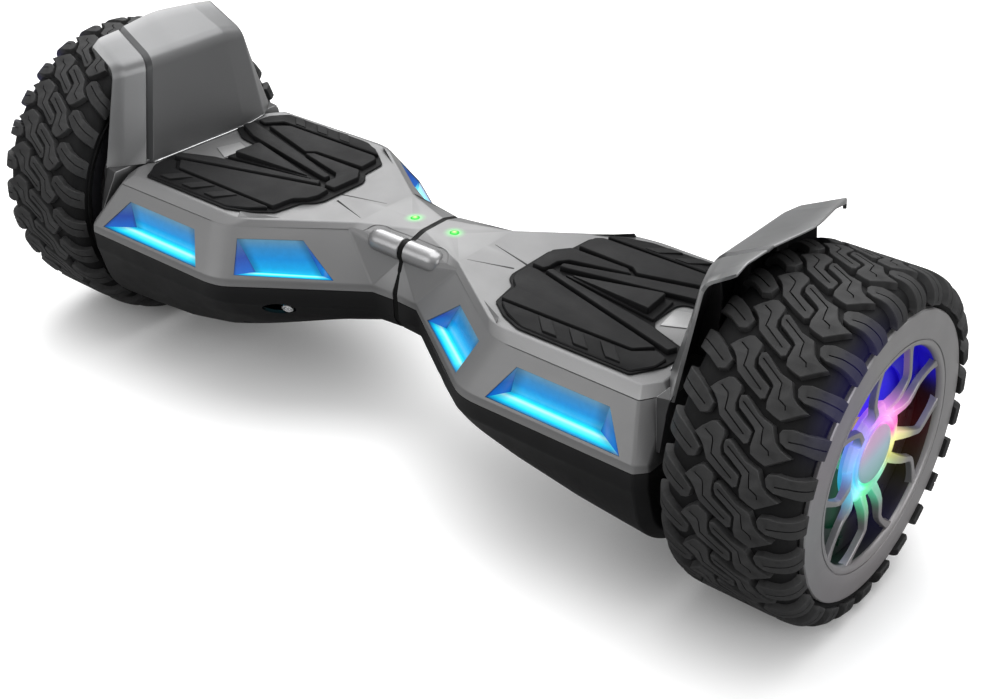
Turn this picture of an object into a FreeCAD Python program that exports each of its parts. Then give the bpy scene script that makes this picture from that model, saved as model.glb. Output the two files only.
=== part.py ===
import FreeCAD, Part
import os, math

# Self-balancing two-wheel board, in mm.  X runs along the axle line (right is +X), Y from
# front (-Y) to back (+Y), Z up from the ground.  The seam between the two halves is at X = 0.
# Shapes are drawn for the right half and mirrored, unless a comment says otherwise.

# ---------------------------------------------------------------- driving dimensions
TYRE_R = 108.0
AXLE_Z = TYRE_R           # axle line, also the twist axis of the two halves
TYRE_IN = 250.2           # inner side of tyre
TYRE_OUT = 339.0          # outer side of tyre
RIM_R = 84.0              # drum radius under the tyre
FLANGE_R = 88.7           # visible rim ring
HALF_GAP = 1.6            # half of the seam gap
WALL = 3.0                # shell wall
BOSS_INSET = WALL - .6    # bosses reach a little into the wall
DECK_Z = 146.5            # flat top of the deck
CREST_Z = 148.0           # top of the shell at the seam
LIP_Z = 113.0             # start of the vertical lip
SPLIT_Z = 107.8           # bottom of the upper shell
LOWER_TOP = 107.4         # top of the lower shell
END_TOP_X = 233.2         # top edge of the deck's sloped end wall
END_TOP_Z = 141.3
END_LIP_X = 241.5         # the same wall at LIP_Z
TUBE_R = 16.0             # pivot tube
TUBE_PASSAGE_R = 17.0
BUSH_CLR = 0.05           # radial running clearance on the pivot tube
AXLE_R = 8.0
AXLE_PASSAGE_R = 12.5
PAD_BOTTOM = 147.4
PAD_TOP = 151.0
SLAB_Z = PAD_BOTTOM + 1.7  # raised areas start just inside the pad sheet
INDICATOR_X = 17.4
CAPSULE_Y = -28.0         # raised capsule over the seam
CAPSULE_Z = 139.6
FIT_CLR = 0.06            # radial clearance of socket, button and cap hinge
EMBED = 0.1               # overlap of board components with their board

Vector = FreeCAD.Vector
X_AXIS = Vector(1, 0, 0)
Y_AXIS = Vector(0, 1, 0)
Z_AXIS = Vector(0, 0, 1)
os.makedirs("parts", exist_ok=True)


# ---------------------------------------------------------------- helpers
def mirror_x(shape):
    return shape.mirror(Vector(0, 0, 0), X_AXIS)


def mirror_y(shape):
    return shape.mirror(Vector(0, 0, 0), Y_AXIS)


def save(name, shape):
    solids = shape.Solids
    piece = solids[0] if len(solids) == 1 else Part.makeCompound(solids)
    piece.exportStep("parts/" + name + ".step")


def save_pair(name, shape):
    save(name + "_right", shape)
    save(name + "_left", mirror_x(shape))


def box(x0, x1, y0, y1, z0, z1):
    return Part.makeBox(x1 - x0, y1 - y0, z1 - z0, Vector(x0, y0, z0))


def cyl_x(x0, x1, radius, y=0.0, z=AXLE_Z):
    return Part.makeCylinder(radius, x1 - x0, Vector(x0, y, z), X_AXIS)


def cyl_y(y0, y1, radius, x, z):
    return Part.makeCylinder(radius, y1 - y0, Vector(x, y0, z), Y_AXIS)


def cyl_z(z0, z1, radius, x, y):
    return Part.makeCylinder(radius, z1 - z0, Vector(x, y, z0), Z_AXIS)


def fuse_all(shape, others):
    for other in others:
        shape = shape.fuse(other)
    return shape


def mirrored_spots(xs, y):
    """(x, -y) and (x, y) for each x"""
    return [(x, side * y) for x in xs for side in (-1, 1)]


def polygon_face(points):
    return Part.Face(Part.makePolygon(points + [points[0]]))


def prism(outline, z0, z1):
    return polygon_face([Vector(x, y, z0) for x, y in outline]).extrude(Vector(0, 0, z1 - z0))


def turned(profile):
    """closed (x, radius) profile turned about the axle line"""
    face = polygon_face([Vector(x, 0, AXLE_Z + radius) for x, radius in profile])
    return face.revolve(Vector(0, 0, AXLE_Z), X_AXIS, 360)


def around_axle(block, angle):
    """turn a block drawn with z as its radius, then lift it to the axle line"""
    block.rotate(Vector(0, 0, 0), X_AXIS, angle)
    block.translate(Vector(0, 0, AXLE_Z))
    return block


def facets(points):
    """one flat face, or a fan of triangles when the points are not in one plane"""
    first = points[0]
    normal = (points[1] - first).cross(points[2] - first).normalize()
    if all(abs((p - first).dot(normal)) < 1e-5 for p in points):
        return [polygon_face(points)]
    return [polygon_face([first, p, q]) for p, q in zip(points[1:], points[2:])]


def solid_of(outlines):
    faces = []
    for outline in outlines:
        faces += facets([Vector(*p) for p in outline])
    shell = Part.Shell(faces)
    shell.sewShape()
    solid = Part.Solid(shell)
    if solid.Volume < 0:
        solid.reverse()
    return solid


def with_back(outlines):
    """front outlines plus their mirror images behind the XZ plane"""
    return outlines + [[(x, -y, z) for x, y, z in reversed(o)] for o in outlines]


def strip(first, second):
    """quads between two rows of points"""
    return [[first[i], first[i + 1], second[i + 1], second[i]] for i in range(len(first) - 1)]


def split_quad(a, b, c, d):
    return [[a, b, c], [a, c, d]]


# ---------------------------------------------------------------- upper shell body
def upper_stations(inset, bottom):
    """front-side points, each station from the deck down; inset moves them into the shell"""
    t = inset
    seam_x = HALF_GAP + t
    deck = DECK_Z - t
    side = 1.1 * t
    seam = [(seam_x, 0, CREST_Z - t), (seam_x, -11 + .4 * t, CREST_Z - t),
            (seam_x, -23.5 + .8 * t, 144.6 - .9 * t), (seam_x, -36 + t, 135.0 - .7 * t),
            (seam_x, -41.2 + t, LIP_Z), (seam_x, -40.8 + t, bottom), (seam_x, 0, bottom)]
    neck = [(44, 0, deck), (44, -28 + .8 * t, deck), (47, -33.5 + side, 142.8 - .8 * t),
            (19.6, -42.3 + 1.05 * t, LIP_Z), (19.6, -41.9 + 1.05 * t, bottom)]
    inner = [(110, 0, deck), (110, -74 + side, deck), (117.5, -82.6 + side, 142.3 - .8 * t),
             (108, -102.7 + side, LIP_Z), (108, -103.1 + side, bottom)]
    outer = [(219 - t, 0, deck), (219 - t, -74 + side, deck),
             (223.5 - .6 * t, -82.4 + side, 141.5 - .9 * t),
             (235.2 - .6 * t, -102.7 + side, LIP_Z), (235.3 - .6 * t, -103.1 + side, bottom)]
    corner = [(227 - t, -63 + .6 * t, deck),
              (END_TOP_X - t, -66.7 + .5 * t, END_TOP_Z - .9 * t),
              (END_LIP_X - t, -95.9 + .5 * t, LIP_Z), (241.8 - t, -95.4 + .5 * t, bottom)]
    end = [(227 - t, 0, deck), (END_TOP_X - t, 0, END_TOP_Z - .9 * t),
           (END_LIP_X - t, 0, LIP_Z), (241.8 - t, 0, bottom)]
    return seam, neck, inner, outer, corner, end


def upper_body(inset, bottom):
    seam, neck, inner, outer, corner, end = upper_stations(inset, bottom)
    outlines = strip(seam[:3], neck[:3])
    outlines += [[seam[2], seam[3], neck[2]],
                 [seam[3], seam[4], neck[3]],
                 [seam[3], neck[3], neck[2]]]
    outlines += strip(seam[4:6], neck[3:])
    outlines += strip(neck, inner) + strip(inner, outer)
    outlines += [[outer[0], outer[1], corner[0], end[0]]]
    outlines += strip(outer[1:], corner) + strip(corner, end)
    outlines += [seam[::-1],
                 [seam[6], end[-1], corner[-1], outer[-1], inner[-1], neck[-1], seam[5]]]
    return solid_of(with_back(outlines)).removeSplitter()


# ---------------------------------------------------------------- light windows, lenses, LEDs
# Window corners near the shell face: top inner, top outer, bottom outer, bottom inner.
OUTER_WINDOW = [(140.7, -88.2, 134.2), (208.0, -88.2, 134.2),
                (225.0, -101.8, 114.6), (127.4, -101.8, 114.6)]
INNER_WINDOW = [(69.9, -54.1, 134.6), (106.2, -81.0, 135.4),
                (98.0, -94.0, 115.6), (41.5, -56.2, 114.8)]
LENS_GAP = .3             # lens edge to window edge
HOLLOW_INSET = 1.6        # tray hollow to window edge
TRAY_RISE = 3.0           # lowest tray edge above the window's bottom edge
TRAY_END = 8              # lowest tray edge shortened at each end
LED_DEPTH = 14.6
LED_RISE = 6
LED_WIDTH = 8
LED_THICK = 1.6
LED_END = 12              # LED strip shortened at each end


def window_on_face(plane_points, corners):
    """corners dropped onto the shell face, and the normal of that face towards the front"""
    origin, second, third = [Vector(*p) for p in plane_points]
    normal = (second - origin).cross(third - origin).normalize()
    if normal.y > 0:
        normal = normal * -1
    corners = [Vector(*p) for p in corners]
    return [p - normal * ((p - origin).dot(normal)) for p in corners], normal


def shrink(quad, distance):
    """move every side of a convex quadrilateral inwards"""
    normal = (quad[1] - quad[0]).cross(quad[3] - quad[0]).normalize()
    shrunk = []
    for i in range(4):
        point = quad[i]
        before = normal.cross((point - quad[i - 1]).normalize())
        after = normal.cross((quad[(i + 1) % 4] - point).normalize())
        shrunk.append(point + (before + after) * (distance / (1.0 + before.dot(after))))
    return shrunk


def window_prism(quad, normal, depth0, depth1):
    return polygon_face([p - normal * depth0 for p in quad]).extrude(normal * (depth0 - depth1))


def window_directions(quad):
    """unit vectors down the window and along its bottom edge"""
    down = ((quad[3] - quad[0]) + (quad[2] - quad[1])).normalize()
    return down, (quad[2] - quad[3]).normalize()


def tray(quad, normal, top_depth, deep):
    """tray volume: shallow at the top edge, deep near the bottom edge"""
    down, along = window_directions(quad)
    rim = [p + normal * 0.6 for p in quad]
    wall = [p - normal * top_depth for p in quad]
    low_in = quad[3] - normal * deep - down * TRAY_RISE + along * TRAY_END
    low_out = quad[2] - normal * deep - down * TRAY_RISE - along * TRAY_END
    outlines = [rim]
    for i in range(4):
        j = (i + 1) % 4
        outlines.append([rim[i], wall[i], wall[j], rim[j]])
    outlines += [[wall[0], low_in, low_out, wall[1]], [wall[1], low_out, wall[2]],
                 [wall[2], low_out, low_in, wall[3]], [wall[3], low_in, wall[0]]]
    return solid_of(outlines)


def lens(quad, normal):
    edge = shrink(quad, LENS_GAP)
    body = tray(edge, normal, 2.6, 12.0).common(window_prism(edge, normal, 0.2, 20))
    return body.cut(tray(shrink(quad, HOLLOW_INSET), normal, 0.3, 9.4))


def led_strip(quad, normal):
    down, along = window_directions(quad)
    base = quad[3] - normal * LED_DEPTH + along * LED_END - down * LED_RISE
    span = along * ((quad[2] - quad[3]).Length - 2 * LED_END)
    rise = down * LED_WIDTH
    face = polygon_face([base, base + span, base + span - rise, base - rise])
    return face.extrude(normal * LED_THICK)


_, neck, inner, outer, _, _ = upper_stations(0.0, SPLIT_Z)
WINDOWS = [window_on_face((inner[2], inner[3], outer[3]), OUTER_WINDOW),
           window_on_face((neck[2], neck[3], inner[2]), INNER_WINDOW)]
front_lenses = [lens(*window) for window in WINDOWS]
front_leds = [led_strip(*window) for window in WINDOWS]
save_pair("front_lenses", Part.makeCompound(front_lenses))
save_pair("rear_lenses", Part.makeCompound([mirror_y(s) for s in front_lenses]))
save_pair("led_strips", Part.makeCompound(front_leds + [mirror_y(s) for s in front_leds]))

# ---------------------------------------------------------------- upper shell
# Shell screws: x, y, bottom of the screw column in the lower shell.
SHELL_SCREWS = [(x, side * y, z)
                for x, y, z in ((70, 34, 62), (120, 66, 50), (214, 66, 38))
                for side in (-1, 1)]
SCREW_BOSS_R = 5.0
SCREW_HOLE_R = 1.9
CAPSULE_R = 7.6
CAPSULE_END = HALF_GAP + 23.5
# Deck grooves, start and end (x, y); they widen towards the end.
GROOVES = [((48.0, 5.2), (83.5, -4.2)), ((47.0, -22.0), (78.0, -12.6))]
GROOVE_FLOOR = 145.7


def groove(start, end):
    start = Vector(*start, GROOVE_FLOOR)
    end = Vector(*end, GROOVE_FLOOR)
    along = (end - start).normalize()
    half = Vector(-along.y, along.x, 0) * .6
    face = polygon_face([start - half, start + half, end + half * 1.6, end - half * 1.6])
    return face.extrude(Vector(0, 0, 4))


def upper_shell():
    hollow = upper_body(WALL, SPLIT_Z - 1.0)
    shell = upper_body(0.0, SPLIT_Z).cut(hollow)
    for quad, normal in WINDOWS:
        opening = window_prism(quad, normal, -3, 14)
        shell = shell.cut(opening).cut(mirror_y(opening))
    capsule = cyl_x(HALF_GAP, CAPSULE_END, CAPSULE_R, CAPSULE_Y, CAPSULE_Z)
    tip = Part.makeSphere(CAPSULE_R, Vector(CAPSULE_END, CAPSULE_Y, CAPSULE_Z))
    shell = shell.fuse(capsule.fuse(tip).cut(hollow))
    # pad opening with a tongue left standing on its outer side
    shell = shell.cut(box(104, 206, -44, 44, 140, 150).cut(box(183, 207, -23, 23, 139, 151)))
    shell = shell.cut(cyl_z(140, 152, 3.1, INDICATOR_X, 0))
    shell = shell.cut(cyl_x(0, 8, TUBE_PASSAGE_R))
    for start, end in GROOVES:
        shell = shell.cut(groove(start, end))
    boss_limit = upper_body(BOSS_INSET, SPLIT_Z)
    for x, y, _ in SHELL_SCREWS:
        boss = cyl_z(LOWER_TOP + 3, 142, SCREW_BOSS_R, x, y).common(boss_limit)
        shell = shell.fuse(boss.cut(cyl_z(100, 128, SCREW_HOLE_R, x, y)))
    return shell


shell = upper_shell()
axle_passage = cyl_x(232, 246, AXLE_PASSAGE_R)
save("upper_shell_right", shell.cut(axle_passage))
save("upper_shell_left", mirror_x(shell).cut(mirror_x(axle_passage)))

# ---------------------------------------------------------------- lower shell
# Stations: x, rim y, three (y, z) points going down, keel z.
LOWER_STATIONS = [
    (HALF_GAP, 40.8, (40.6, 94.0), (35.0, 85.0), (22.0, 79.5), 78.0),
    (19.6, 41.9, (41.5, 94.0), (37.0, 85.5), (24.0, 79.0), 77.0),
    (45.0, 60.4, (59.6, 94.5), (50.0, 82.0), (30.0, 74.0), 71.0),
    (80.0, 84.8, (83.8, 94.5), (72.0, 80.0), (50.0, 66.5), 62.0),
    (108.0, 103.1, (102.0, 95.0), (90.0, 80.0), (54.0, 56.5), 52.0),
    (140.0, 103.1, (102.0, 95.0), (90.0, 73.0), (55.0, 45.5), 42.5),
    (180.0, 103.1, (102.0, 94.5), (90.0, 68.0), (55.0, 36.5), 34.0),
    (215.0, 103.1, (102.0, 94.5), (90.0, 63.5), (55.0, 34.5), 32.5),
    (235.3, 103.1, (102.0, 94.5), (90.0, 60.5), (55.0, 35.5), 33.5),
    (241.8, 95.4, (94.6, 94.5), (84.0, 64.5), (52.0, 41.0), 39.0)]
# Share of the inset taken inwards and upwards by the three middle points.
INSET_SHARES = [(1.15, .4), (.85, .75), (.35, 1.0)]


def lower_body(inset, top):
    shifts = [inset] + [0] * (len(LOWER_STATIONS) - 3) + [-.5 * inset, -inset]
    rows = []
    for (x, rim_y, *middle, keel_z), shift in zip(LOWER_STATIONS, shifts):
        x += shift
        row = [(x, 1.1 * inset - rim_y, top)]
        for (y, z), (inwards, upwards) in zip(middle, INSET_SHARES):
            row.append((x, inwards * inset - y, z + upwards * inset))
        rows.append(row + [(x, 0, keel_z + inset)])
    seam_top = (rows[0][0][0], 0, top)
    end_top = (rows[-1][0][0], 0, top)
    outlines = []
    for row, following in zip(rows, rows[1:]):
        outlines += strip(row, following)
    outlines += [[seam_top] + [row[0] for row in rows] + [end_top],
                 [seam_top] + rows[0][::-1],
                 [end_top] + rows[-1]]
    return solid_of(with_back(outlines))


def lower_shell():
    shell = lower_body(0.0, LOWER_TOP).cut(lower_body(WALL, LOWER_TOP + 1.0))
    shell = shell.cut(cyl_x(0, 8, TUBE_PASSAGE_R))
    shell = shell.cut(cyl_x(236, 246, AXLE_PASSAGE_R))
    column_limit = lower_body(BOSS_INSET, LOWER_TOP + 3.0)
    for x, y, bottom in SHELL_SCREWS:
        column = cyl_z(bottom, LOWER_TOP + 2.4, SCREW_BOSS_R, x, y)
        shell = shell.fuse(column.common(column_limit))
        shell = shell.cut(cyl_z(20, 103.0, 3.6, x, y)).cut(cyl_z(20, 112, SCREW_HOLE_R, x, y))
    return shell


def shell_screw(x, y):
    return cyl_z(100.2, 102.9, 3.2, x, y).fuse(cyl_z(102.9, 124, 1.7, x, y))


# Charge socket at the back of the right half, with a hinged cap below it.
SOCKET_X = 165.0
SOCKET_Z = 95.5
SOCKET_R = 7.5
HINGE_Y = 105.6
HINGE_Z = SOCKET_Z - 14.0
HINGE_EAR_R = 2.4
HINGE_PIN_R = 0.9
HINGE_HALF = 5.4          # half width over the ears
EAR_THICK = 2.0
FLAP_HALF = 3.1           # half width of the cap's neck


def socket_cyl(y0, y1, radius):
    return cyl_y(y0, y1, radius, SOCKET_X, SOCKET_Z)


def hinge_cyl(half_width, radius):
    return cyl_x(SOCKET_X - half_width, SOCKET_X + half_width, radius, HINGE_Y, HINGE_Z)


def right_lower_shell(shell):
    # slots across the belly
    for k in range(5):
        shell = shell.cut(box(158 + 9 * k, 162 + 9 * k, -14, 14, 28, 45))
    shell = shell.fuse(socket_cyl(84, 104.6, 11.0)).cut(socket_cyl(80, 106, SOCKET_R + FIT_CLR))
    ear_spans = [(SOCKET_X - HINGE_HALF, SOCKET_X - HINGE_HALF + EAR_THICK),
                 (SOCKET_X + HINGE_HALF - EAR_THICK, SOCKET_X + HINGE_HALF)]
    ears = [cyl_x(x0, x1, HINGE_EAR_R, HINGE_Y, HINGE_Z) for x0, x1 in ear_spans]
    webs = [box(x0, x1, 88, HINGE_Y, HINGE_Z - HINGE_EAR_R, HINGE_Z + HINGE_EAR_R)
            for x0, x1 in ear_spans]
    return fuse_all(shell, ears + [webs[0].fuse(webs[1]), hinge_cyl(HINGE_HALF, HINGE_PIN_R)])


def charge_socket():
    socket = socket_cyl(86, 104.4, SOCKET_R).fuse(socket_cyl(80.5, 83.8, 9.5))
    socket = socket.fuse(socket_cyl(83.8, 86.0, SOCKET_R)).cut(socket_cyl(98, 106, 6.2))
    for degrees in (90, 210, 330):
        angle = math.radians(degrees)
        socket = socket.fuse(cyl_y(97, 102.2, 0.8, SOCKET_X + 3.2 * math.cos(angle),
                                   SOCKET_Z + 3.2 * math.sin(angle)))
    return socket


def charge_cap():
    plug = socket_cyl(102.6, 104.8, 5.2).cut(socket_cyl(102, 104.6, 4.3))
    neck = box(SOCKET_X - FLAP_HALF, SOCKET_X + FLAP_HALF, 104.9, 107.2, HINGE_Z, SOCKET_Z - 8)
    cap = socket_cyl(104.8, 107.6, 10.6).fuse(plug).fuse(neck)
    return cap.fuse(hinge_cyl(FLAP_HALF, 1.9)).cut(hinge_cyl(4, HINGE_PIN_R + FIT_CLR))


# Power button at the back of the left half.
BUTTON_X = -165.0
BUTTON_Z = 96.0
BUTTON_R = 6.0


def button_cyl(y0, y1, radius):
    return cyl_y(y0, y1, radius, BUTTON_X, BUTTON_Z)


def left_lower_shell(shell):
    shell = mirror_x(shell).fuse(button_cyl(86, 104.0, 9.5))
    return shell.cut(button_cyl(80, 93.1, 7.8)).cut(button_cyl(80, 106, BUTTON_R + FIT_CLR))


shell = lower_shell()
save("lower_shell_right", right_lower_shell(shell))
save("lower_shell_left", left_lower_shell(shell))
save_pair("shell_screws", Part.makeCompound([shell_screw(x, y) for x, y, _ in SHELL_SCREWS]))
save("charge_socket", charge_socket())
save("charge_cap", charge_cap())
save("power_button", button_cyl(91.0, 105.6, BUTTON_R).fuse(button_cyl(90.9, 92.9, 7.4)))

# ---------------------------------------------------------------- fender
# Columns from the front edge to the back edge; points (x, y, z) go up from the deck and
# out over the tyre.
FENDER_COLUMNS = [
    # front edge, front flange crease
    [(242.3, -79.4, 147.0), (243.6, -70.0, 180.0), (244.6, -62.6, 206.0),
     (246.4, -60.6, 213.0), (251.0, -60.2, 217.4), (265.5, -60.2, 227.0)],
    [(236.2, -70.5, 147.0), (239.0, -62.0, 180.0), (240.9, -56.2, 207.0),
     (242.8, -54.4, 214.0), (247.4, -53.6, 218.6), (266.6, -52.8, 231.2)],
    # the two sides of a narrow strip
    [(226.4, -56.4, 147.0), (231.6, -47.2, 182.0), (235.4, -40.0, 209.6),
     (237.7, -38.2, 215.6), (242.0, -37.0, 219.4), (267.8, -34.6, 231.8)],
    [(225.6, -54.4, 147.0), (231.0, -45.2, 182.0), (234.9, -37.8, 209.8),
     (237.3, -36.0, 215.9), (241.8, -35.0, 219.8), (268.2, -32.4, 232.2)],
    # panel front, middle and back crease
    [(223.9, -51.9, 147.0), (229.9, -42.6, 182.0), (234.6, -34.6, 209.9),
     (236.9, -32.6, 215.9), (241.4, -31.4, 219.9), (268.8, -29.0, 232.7)],
    [(222.9, -8.0, 147.0), (229.5, -5.0, 182.0), (234.3, -2.0, 209.9),
     (236.6, -1.0, 215.9), (241.2, 0.0, 219.8), (275.6, 5.4, 233.4)],
    [(222.0, 35.6, 147.0), (228.7, 36.0, 182.0), (233.6, 36.2, 209.6),
     (236.0, 36.3, 215.6), (240.6, 36.4, 219.4), (270.6, 35.6, 231.8)],
    # back side, back crease, back edge
    [(226.4, 60.0, 147.0), (231.0, 56.0, 182.0), (233.8, 53.6, 206.6),
     (235.9, 53.0, 212.6), (240.2, 52.6, 216.8), (268.0, 52.4, 230.2)],
    [(235.0, 73.0, 147.0), (238.6, 65.0, 182.0), (240.6, 59.6, 204.6),
     (242.4, 57.8, 210.4), (246.2, 56.8, 214.8), (267.2, 54.6, 227.6)],
    [(242.4, 79.6, 147.0), (244.4, 69.6, 182.0), (246.0, 62.6, 202.6),
     (247.8, 60.6, 208.2), (251.4, 59.2, 212.6), (266.6, 55.8, 225.0)]]
FENDER_THICK = 2.4
SKIRT_GAP = 0.45          # skirt to the deck's end wall
SKIRT_BOTTOM = 118


def fender_sheet():
    face = [[Vector(*p) for p in column] for column in FENDER_COLUMNS]
    last_column = len(face) - 1
    last_row = len(face[0]) - 1
    # offset grid on the tyre side, outwards and down
    under = []
    for j in range(last_column + 1):
        column = []
        for i in range(last_row + 1):
            along = face[j][min(i + 1, last_row)] - face[j][max(i - 1, 0)]
            across = face[min(j + 1, last_column)][i] - face[max(j - 1, 0)][i]
            normal = along.cross(across).normalize()
            if normal.x - normal.z < 0:
                normal = normal * -1
            column.append(face[j][i] + normal * FENDER_THICK)
        under.append(column)
    outlines = []
    for j in range(last_column):
        for i in range(last_row):
            outlines += split_quad(face[j][i], face[j + 1][i],
                                   face[j + 1][i + 1], face[j][i + 1])
            outlines += split_quad(under[j][i], under[j][i + 1],
                                   under[j + 1][i + 1], under[j + 1][i])
        for i in (0, last_row):
            outlines += split_quad(face[j][i], face[j + 1][i], under[j + 1][i], under[j][i])
    for j in (0, last_column):
        for i in range(last_row):
            outlines += split_quad(face[j][i], face[j][i + 1], under[j][i + 1], under[j][i])
    return solid_of(outlines)


def fender_skirt():
    """skirt outside the deck's end wall, trimmed to a trapezium"""
    top_x = END_TOP_X + SKIRT_GAP
    slope = (END_LIP_X - END_TOP_X) / (END_TOP_Z - LIP_Z)
    bottom_x = top_x + (END_TOP_Z - SKIRT_BOTTOM) * slope
    profile = [(bottom_x, SKIRT_BOTTOM), (top_x, END_TOP_Z), (top_x - 1.2, 147.2),
               (top_x + 3.2, 151.0), (top_x + 3.2, END_TOP_Z), (bottom_x + 2.4, SKIRT_BOTTOM)]
    skirt = polygon_face([Vector(x, -88, z) for x, z in profile]).extrude(Vector(0, 176, 0))
    trapezium = [Vector(225, y, z) for y, z in ((-78, 152), (78, 152), (88.5, 117), (-88.5, 117))]
    return skirt.common(polygon_face(trapezium).extrude(Vector(30, 0, 0)))


def fender():
    foot = prism([(224.6, -60), (224.6, 60), (238.6, 60), (238.6, -60)], 147.0, 150.0)
    front_foot = prism([(229.0, -77), (229.0, -50), (240.0, -50), (240.0, -77)], 147.2, 150.0)
    rib_profile = [(224.6, 149), (239.6, 149), (241.0, 190), (236.6, 211)]
    ribs = [polygon_face([Vector(x, y - 1, z) for x, z in rib_profile]).extrude(Vector(0, 2, 0))
            for y in (-30, 0, 30)]
    return fuse_all(fender_sheet(),
                    [fender_skirt(), foot, front_foot, mirror_y(front_foot)] + ribs)


save_pair("fender", fender())

# ---------------------------------------------------------------- foot pads
# Outlines of (x, y) points.
PAD_OUTLINE = [
    (208.6, -71.0), (127, -71.0), (111, -64.5), (96.5, -54.0), (92.2, -32.5), (85.0, -26.5),
    (82.5, -20.5), (82.0, 17.5), (84.5, 22.5), (90.8, 29.0), (92.4, 48.8), (108, 60.8),
    (126, 70.0), (208.6, 70.8), (219.6, 56.0), (221.6, 40.0), (221.6, 27.0), (205, 17),
    (189, 15), (186, 10), (186, -12), (190, -19), (221.6, -30.0), (221.6, -40), (219.6, -52.0)]
FRONT_SLAB = [(206, -40.5), (196, -52.0), (100, -53.0), (97, -36), (88.5, -28), (86, -21),
              (88, -8.0), (96, -8.8)]
BACK_SLAB = [(201, 40.0), (188, 51.0), (102, 51.0), (97, 47.5), (95.5, 30.0), (140, 28.5),
             (146, 23.5)]
MIDDLE_SLAB = [(139, 26.0), (146, 20.8), (104, 10.5), (99, 4.5), (99, -1.5), (97, -5.0),
               (86.5, -4.5), (85.5, 16.5), (93.5, 25.5)]
FRONT_ARM = [(214, -40.5), (217, -34.0), (190, -23.0), (176, -20.0), (108, -6.0),
             (102, -2.8), (99.5, -8.0)]
BACK_ARM = [(214.0, 40.5), (217.5, 30.0), (196, 19.5), (180, 16.0), (108, 1.2),
            (102, 0.2), (101.5, 6.5), (150, 20.5)]
# Front wing, base (x, y) and matching top (x, y, z).
WING_BASE = [(206, -68.5), (216, -52), (216.5, -45.0), (207.5, -43.0), (197, -54.6),
             (104, -55.4), (113, -62.5), (128, -68.5)]
WING_TOP = [(204, -60.0, 150.0), (213, -50.5, 150.2), (214, -46.0, 150.4),
            (207.0, -44.5, 150.4), (196.5, -55.8, 150.2), (106, -56.4, 150.2),
            (114, -59.5, 150.0), (128, -61.0, 150.0)]
# Sloped triangle: x, y, top z.
TRIANGLE = [(119, -3.0, 151.2), (178, 9.5, 153.4), (179.5, -12.0, 153.4)]
PAD_POSTS = mirrored_spots((118, 192), 34)


def pad_triangle():
    base = [(x, y, 149) for x, y, _ in TRIANGLE]
    outlines = [base, TRIANGLE[::-1]]
    for i in range(3):
        j = (i + 1) % 3
        outlines.append([base[i], TRIANGLE[i], TRIANGLE[j], base[j]])
    return solid_of(outlines)


def pad_wing(side):
    """notched wing; side is 1 for the front one, -1 for the back one"""
    base = [(x, y * side, SLAB_Z) for x, y in WING_BASE]
    top = [(x, y * side, z) for x, y, z in WING_TOP]
    outlines = [base, top]
    for i in range(len(base)):
        j = (i + 1) % len(base)
        outlines += split_quad(base[i], base[j], top[j], top[i])
    wing = solid_of(outlines)
    for x in (140, 162, 184):
        notch = [(x, -70 * side), (x + 5, -70 * side), (x + 13, -58 * side), (x + 8, -58 * side)]
        wing = wing.cut(prism(notch, 149.3, 152))
    return wing


def foot_pad():
    pad = prism(PAD_OUTLINE, PAD_BOTTOM, PAD_BOTTOM + 1.8)
    slabs = [prism(o, SLAB_Z, PAD_TOP) for o in (FRONT_SLAB, BACK_SLAB, MIDDLE_SLAB)]
    arms = [prism(o, SLAB_Z, PAD_TOP + .4) for o in (FRONT_ARM, BACK_ARM)]
    return fuse_all(pad, slabs + arms + [pad_triangle(), pad_wing(1), pad_wing(-1)])


def pad_plate():
    plate = box(106, 204, -42, 42, 143.6, PAD_BOTTOM - .1).cut(box(181, 205, -25, 25, 143, 149))
    posts = [cyl_z(136.4, 143.7, 4.0, x, y) for x, y in PAD_POSTS]
    ribs = [box(112, 179, y - 1, y + 1, 141.2, 143.7) for y in (-20, 0, 20)]
    return fuse_all(plate, posts + ribs)


save_pair("foot_pad", foot_pad())
save_pair("pad_plate", pad_plate())

# ---------------------------------------------------------------- switch board, gyro board
BOARD_THICK = 1.6
CENTRE_OPENING = (128, 182, -26, 26)   # x and y range, in switch board and frame
SWITCH_TOP = 135.0
GYRO_TOP = 122.6


def pad_switch_board():
    board = box(110, 200, -40, 40, SWITCH_TOP - BOARD_THICK, SWITCH_TOP)
    board = board.cut(box(*CENTRE_OPENING, 130, 138))
    for x, y in PAD_POSTS:
        board = board.cut(cyl_z(130, 137, 2.2, x, y))
        board = board.fuse(box(x + 5.4, x + 8.4, y - 4, y + 4, SWITCH_TOP - EMBED, 138.6))
    return board


def gyro_board():
    board = box(68, 92, -13, 13, GYRO_TOP - BOARD_THICK, GYRO_TOP)
    return fuse_all(board, [box(74, 82, -4, 4, GYRO_TOP - EMBED, 124.2),
                            box(84, 90, -10, 10, GYRO_TOP - EMBED, 127.0)])


save_pair("pad_switch_board", pad_switch_board())
save_pair("gyro_board", gyro_board())

# ---------------------------------------------------------------- chassis frame and axle clamp
FRAME_OUTLINE = [(40, -16), (62, -16), (96, -50), (232, -50),
                 (232, 50), (96, 50), (62, 16), (40, 16)]
FRAME_BOTTOM = 112.5
FRAME_TOP = 117.0
FRAME_ROOT = FRAME_TOP - .5            # posts and flanges start inside the plate
CLAMP_SCREWS = mirrored_spots((202, 225), 16)
AXLE_BORE = cyl_x(190, 234, AXLE_R + .1)


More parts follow.
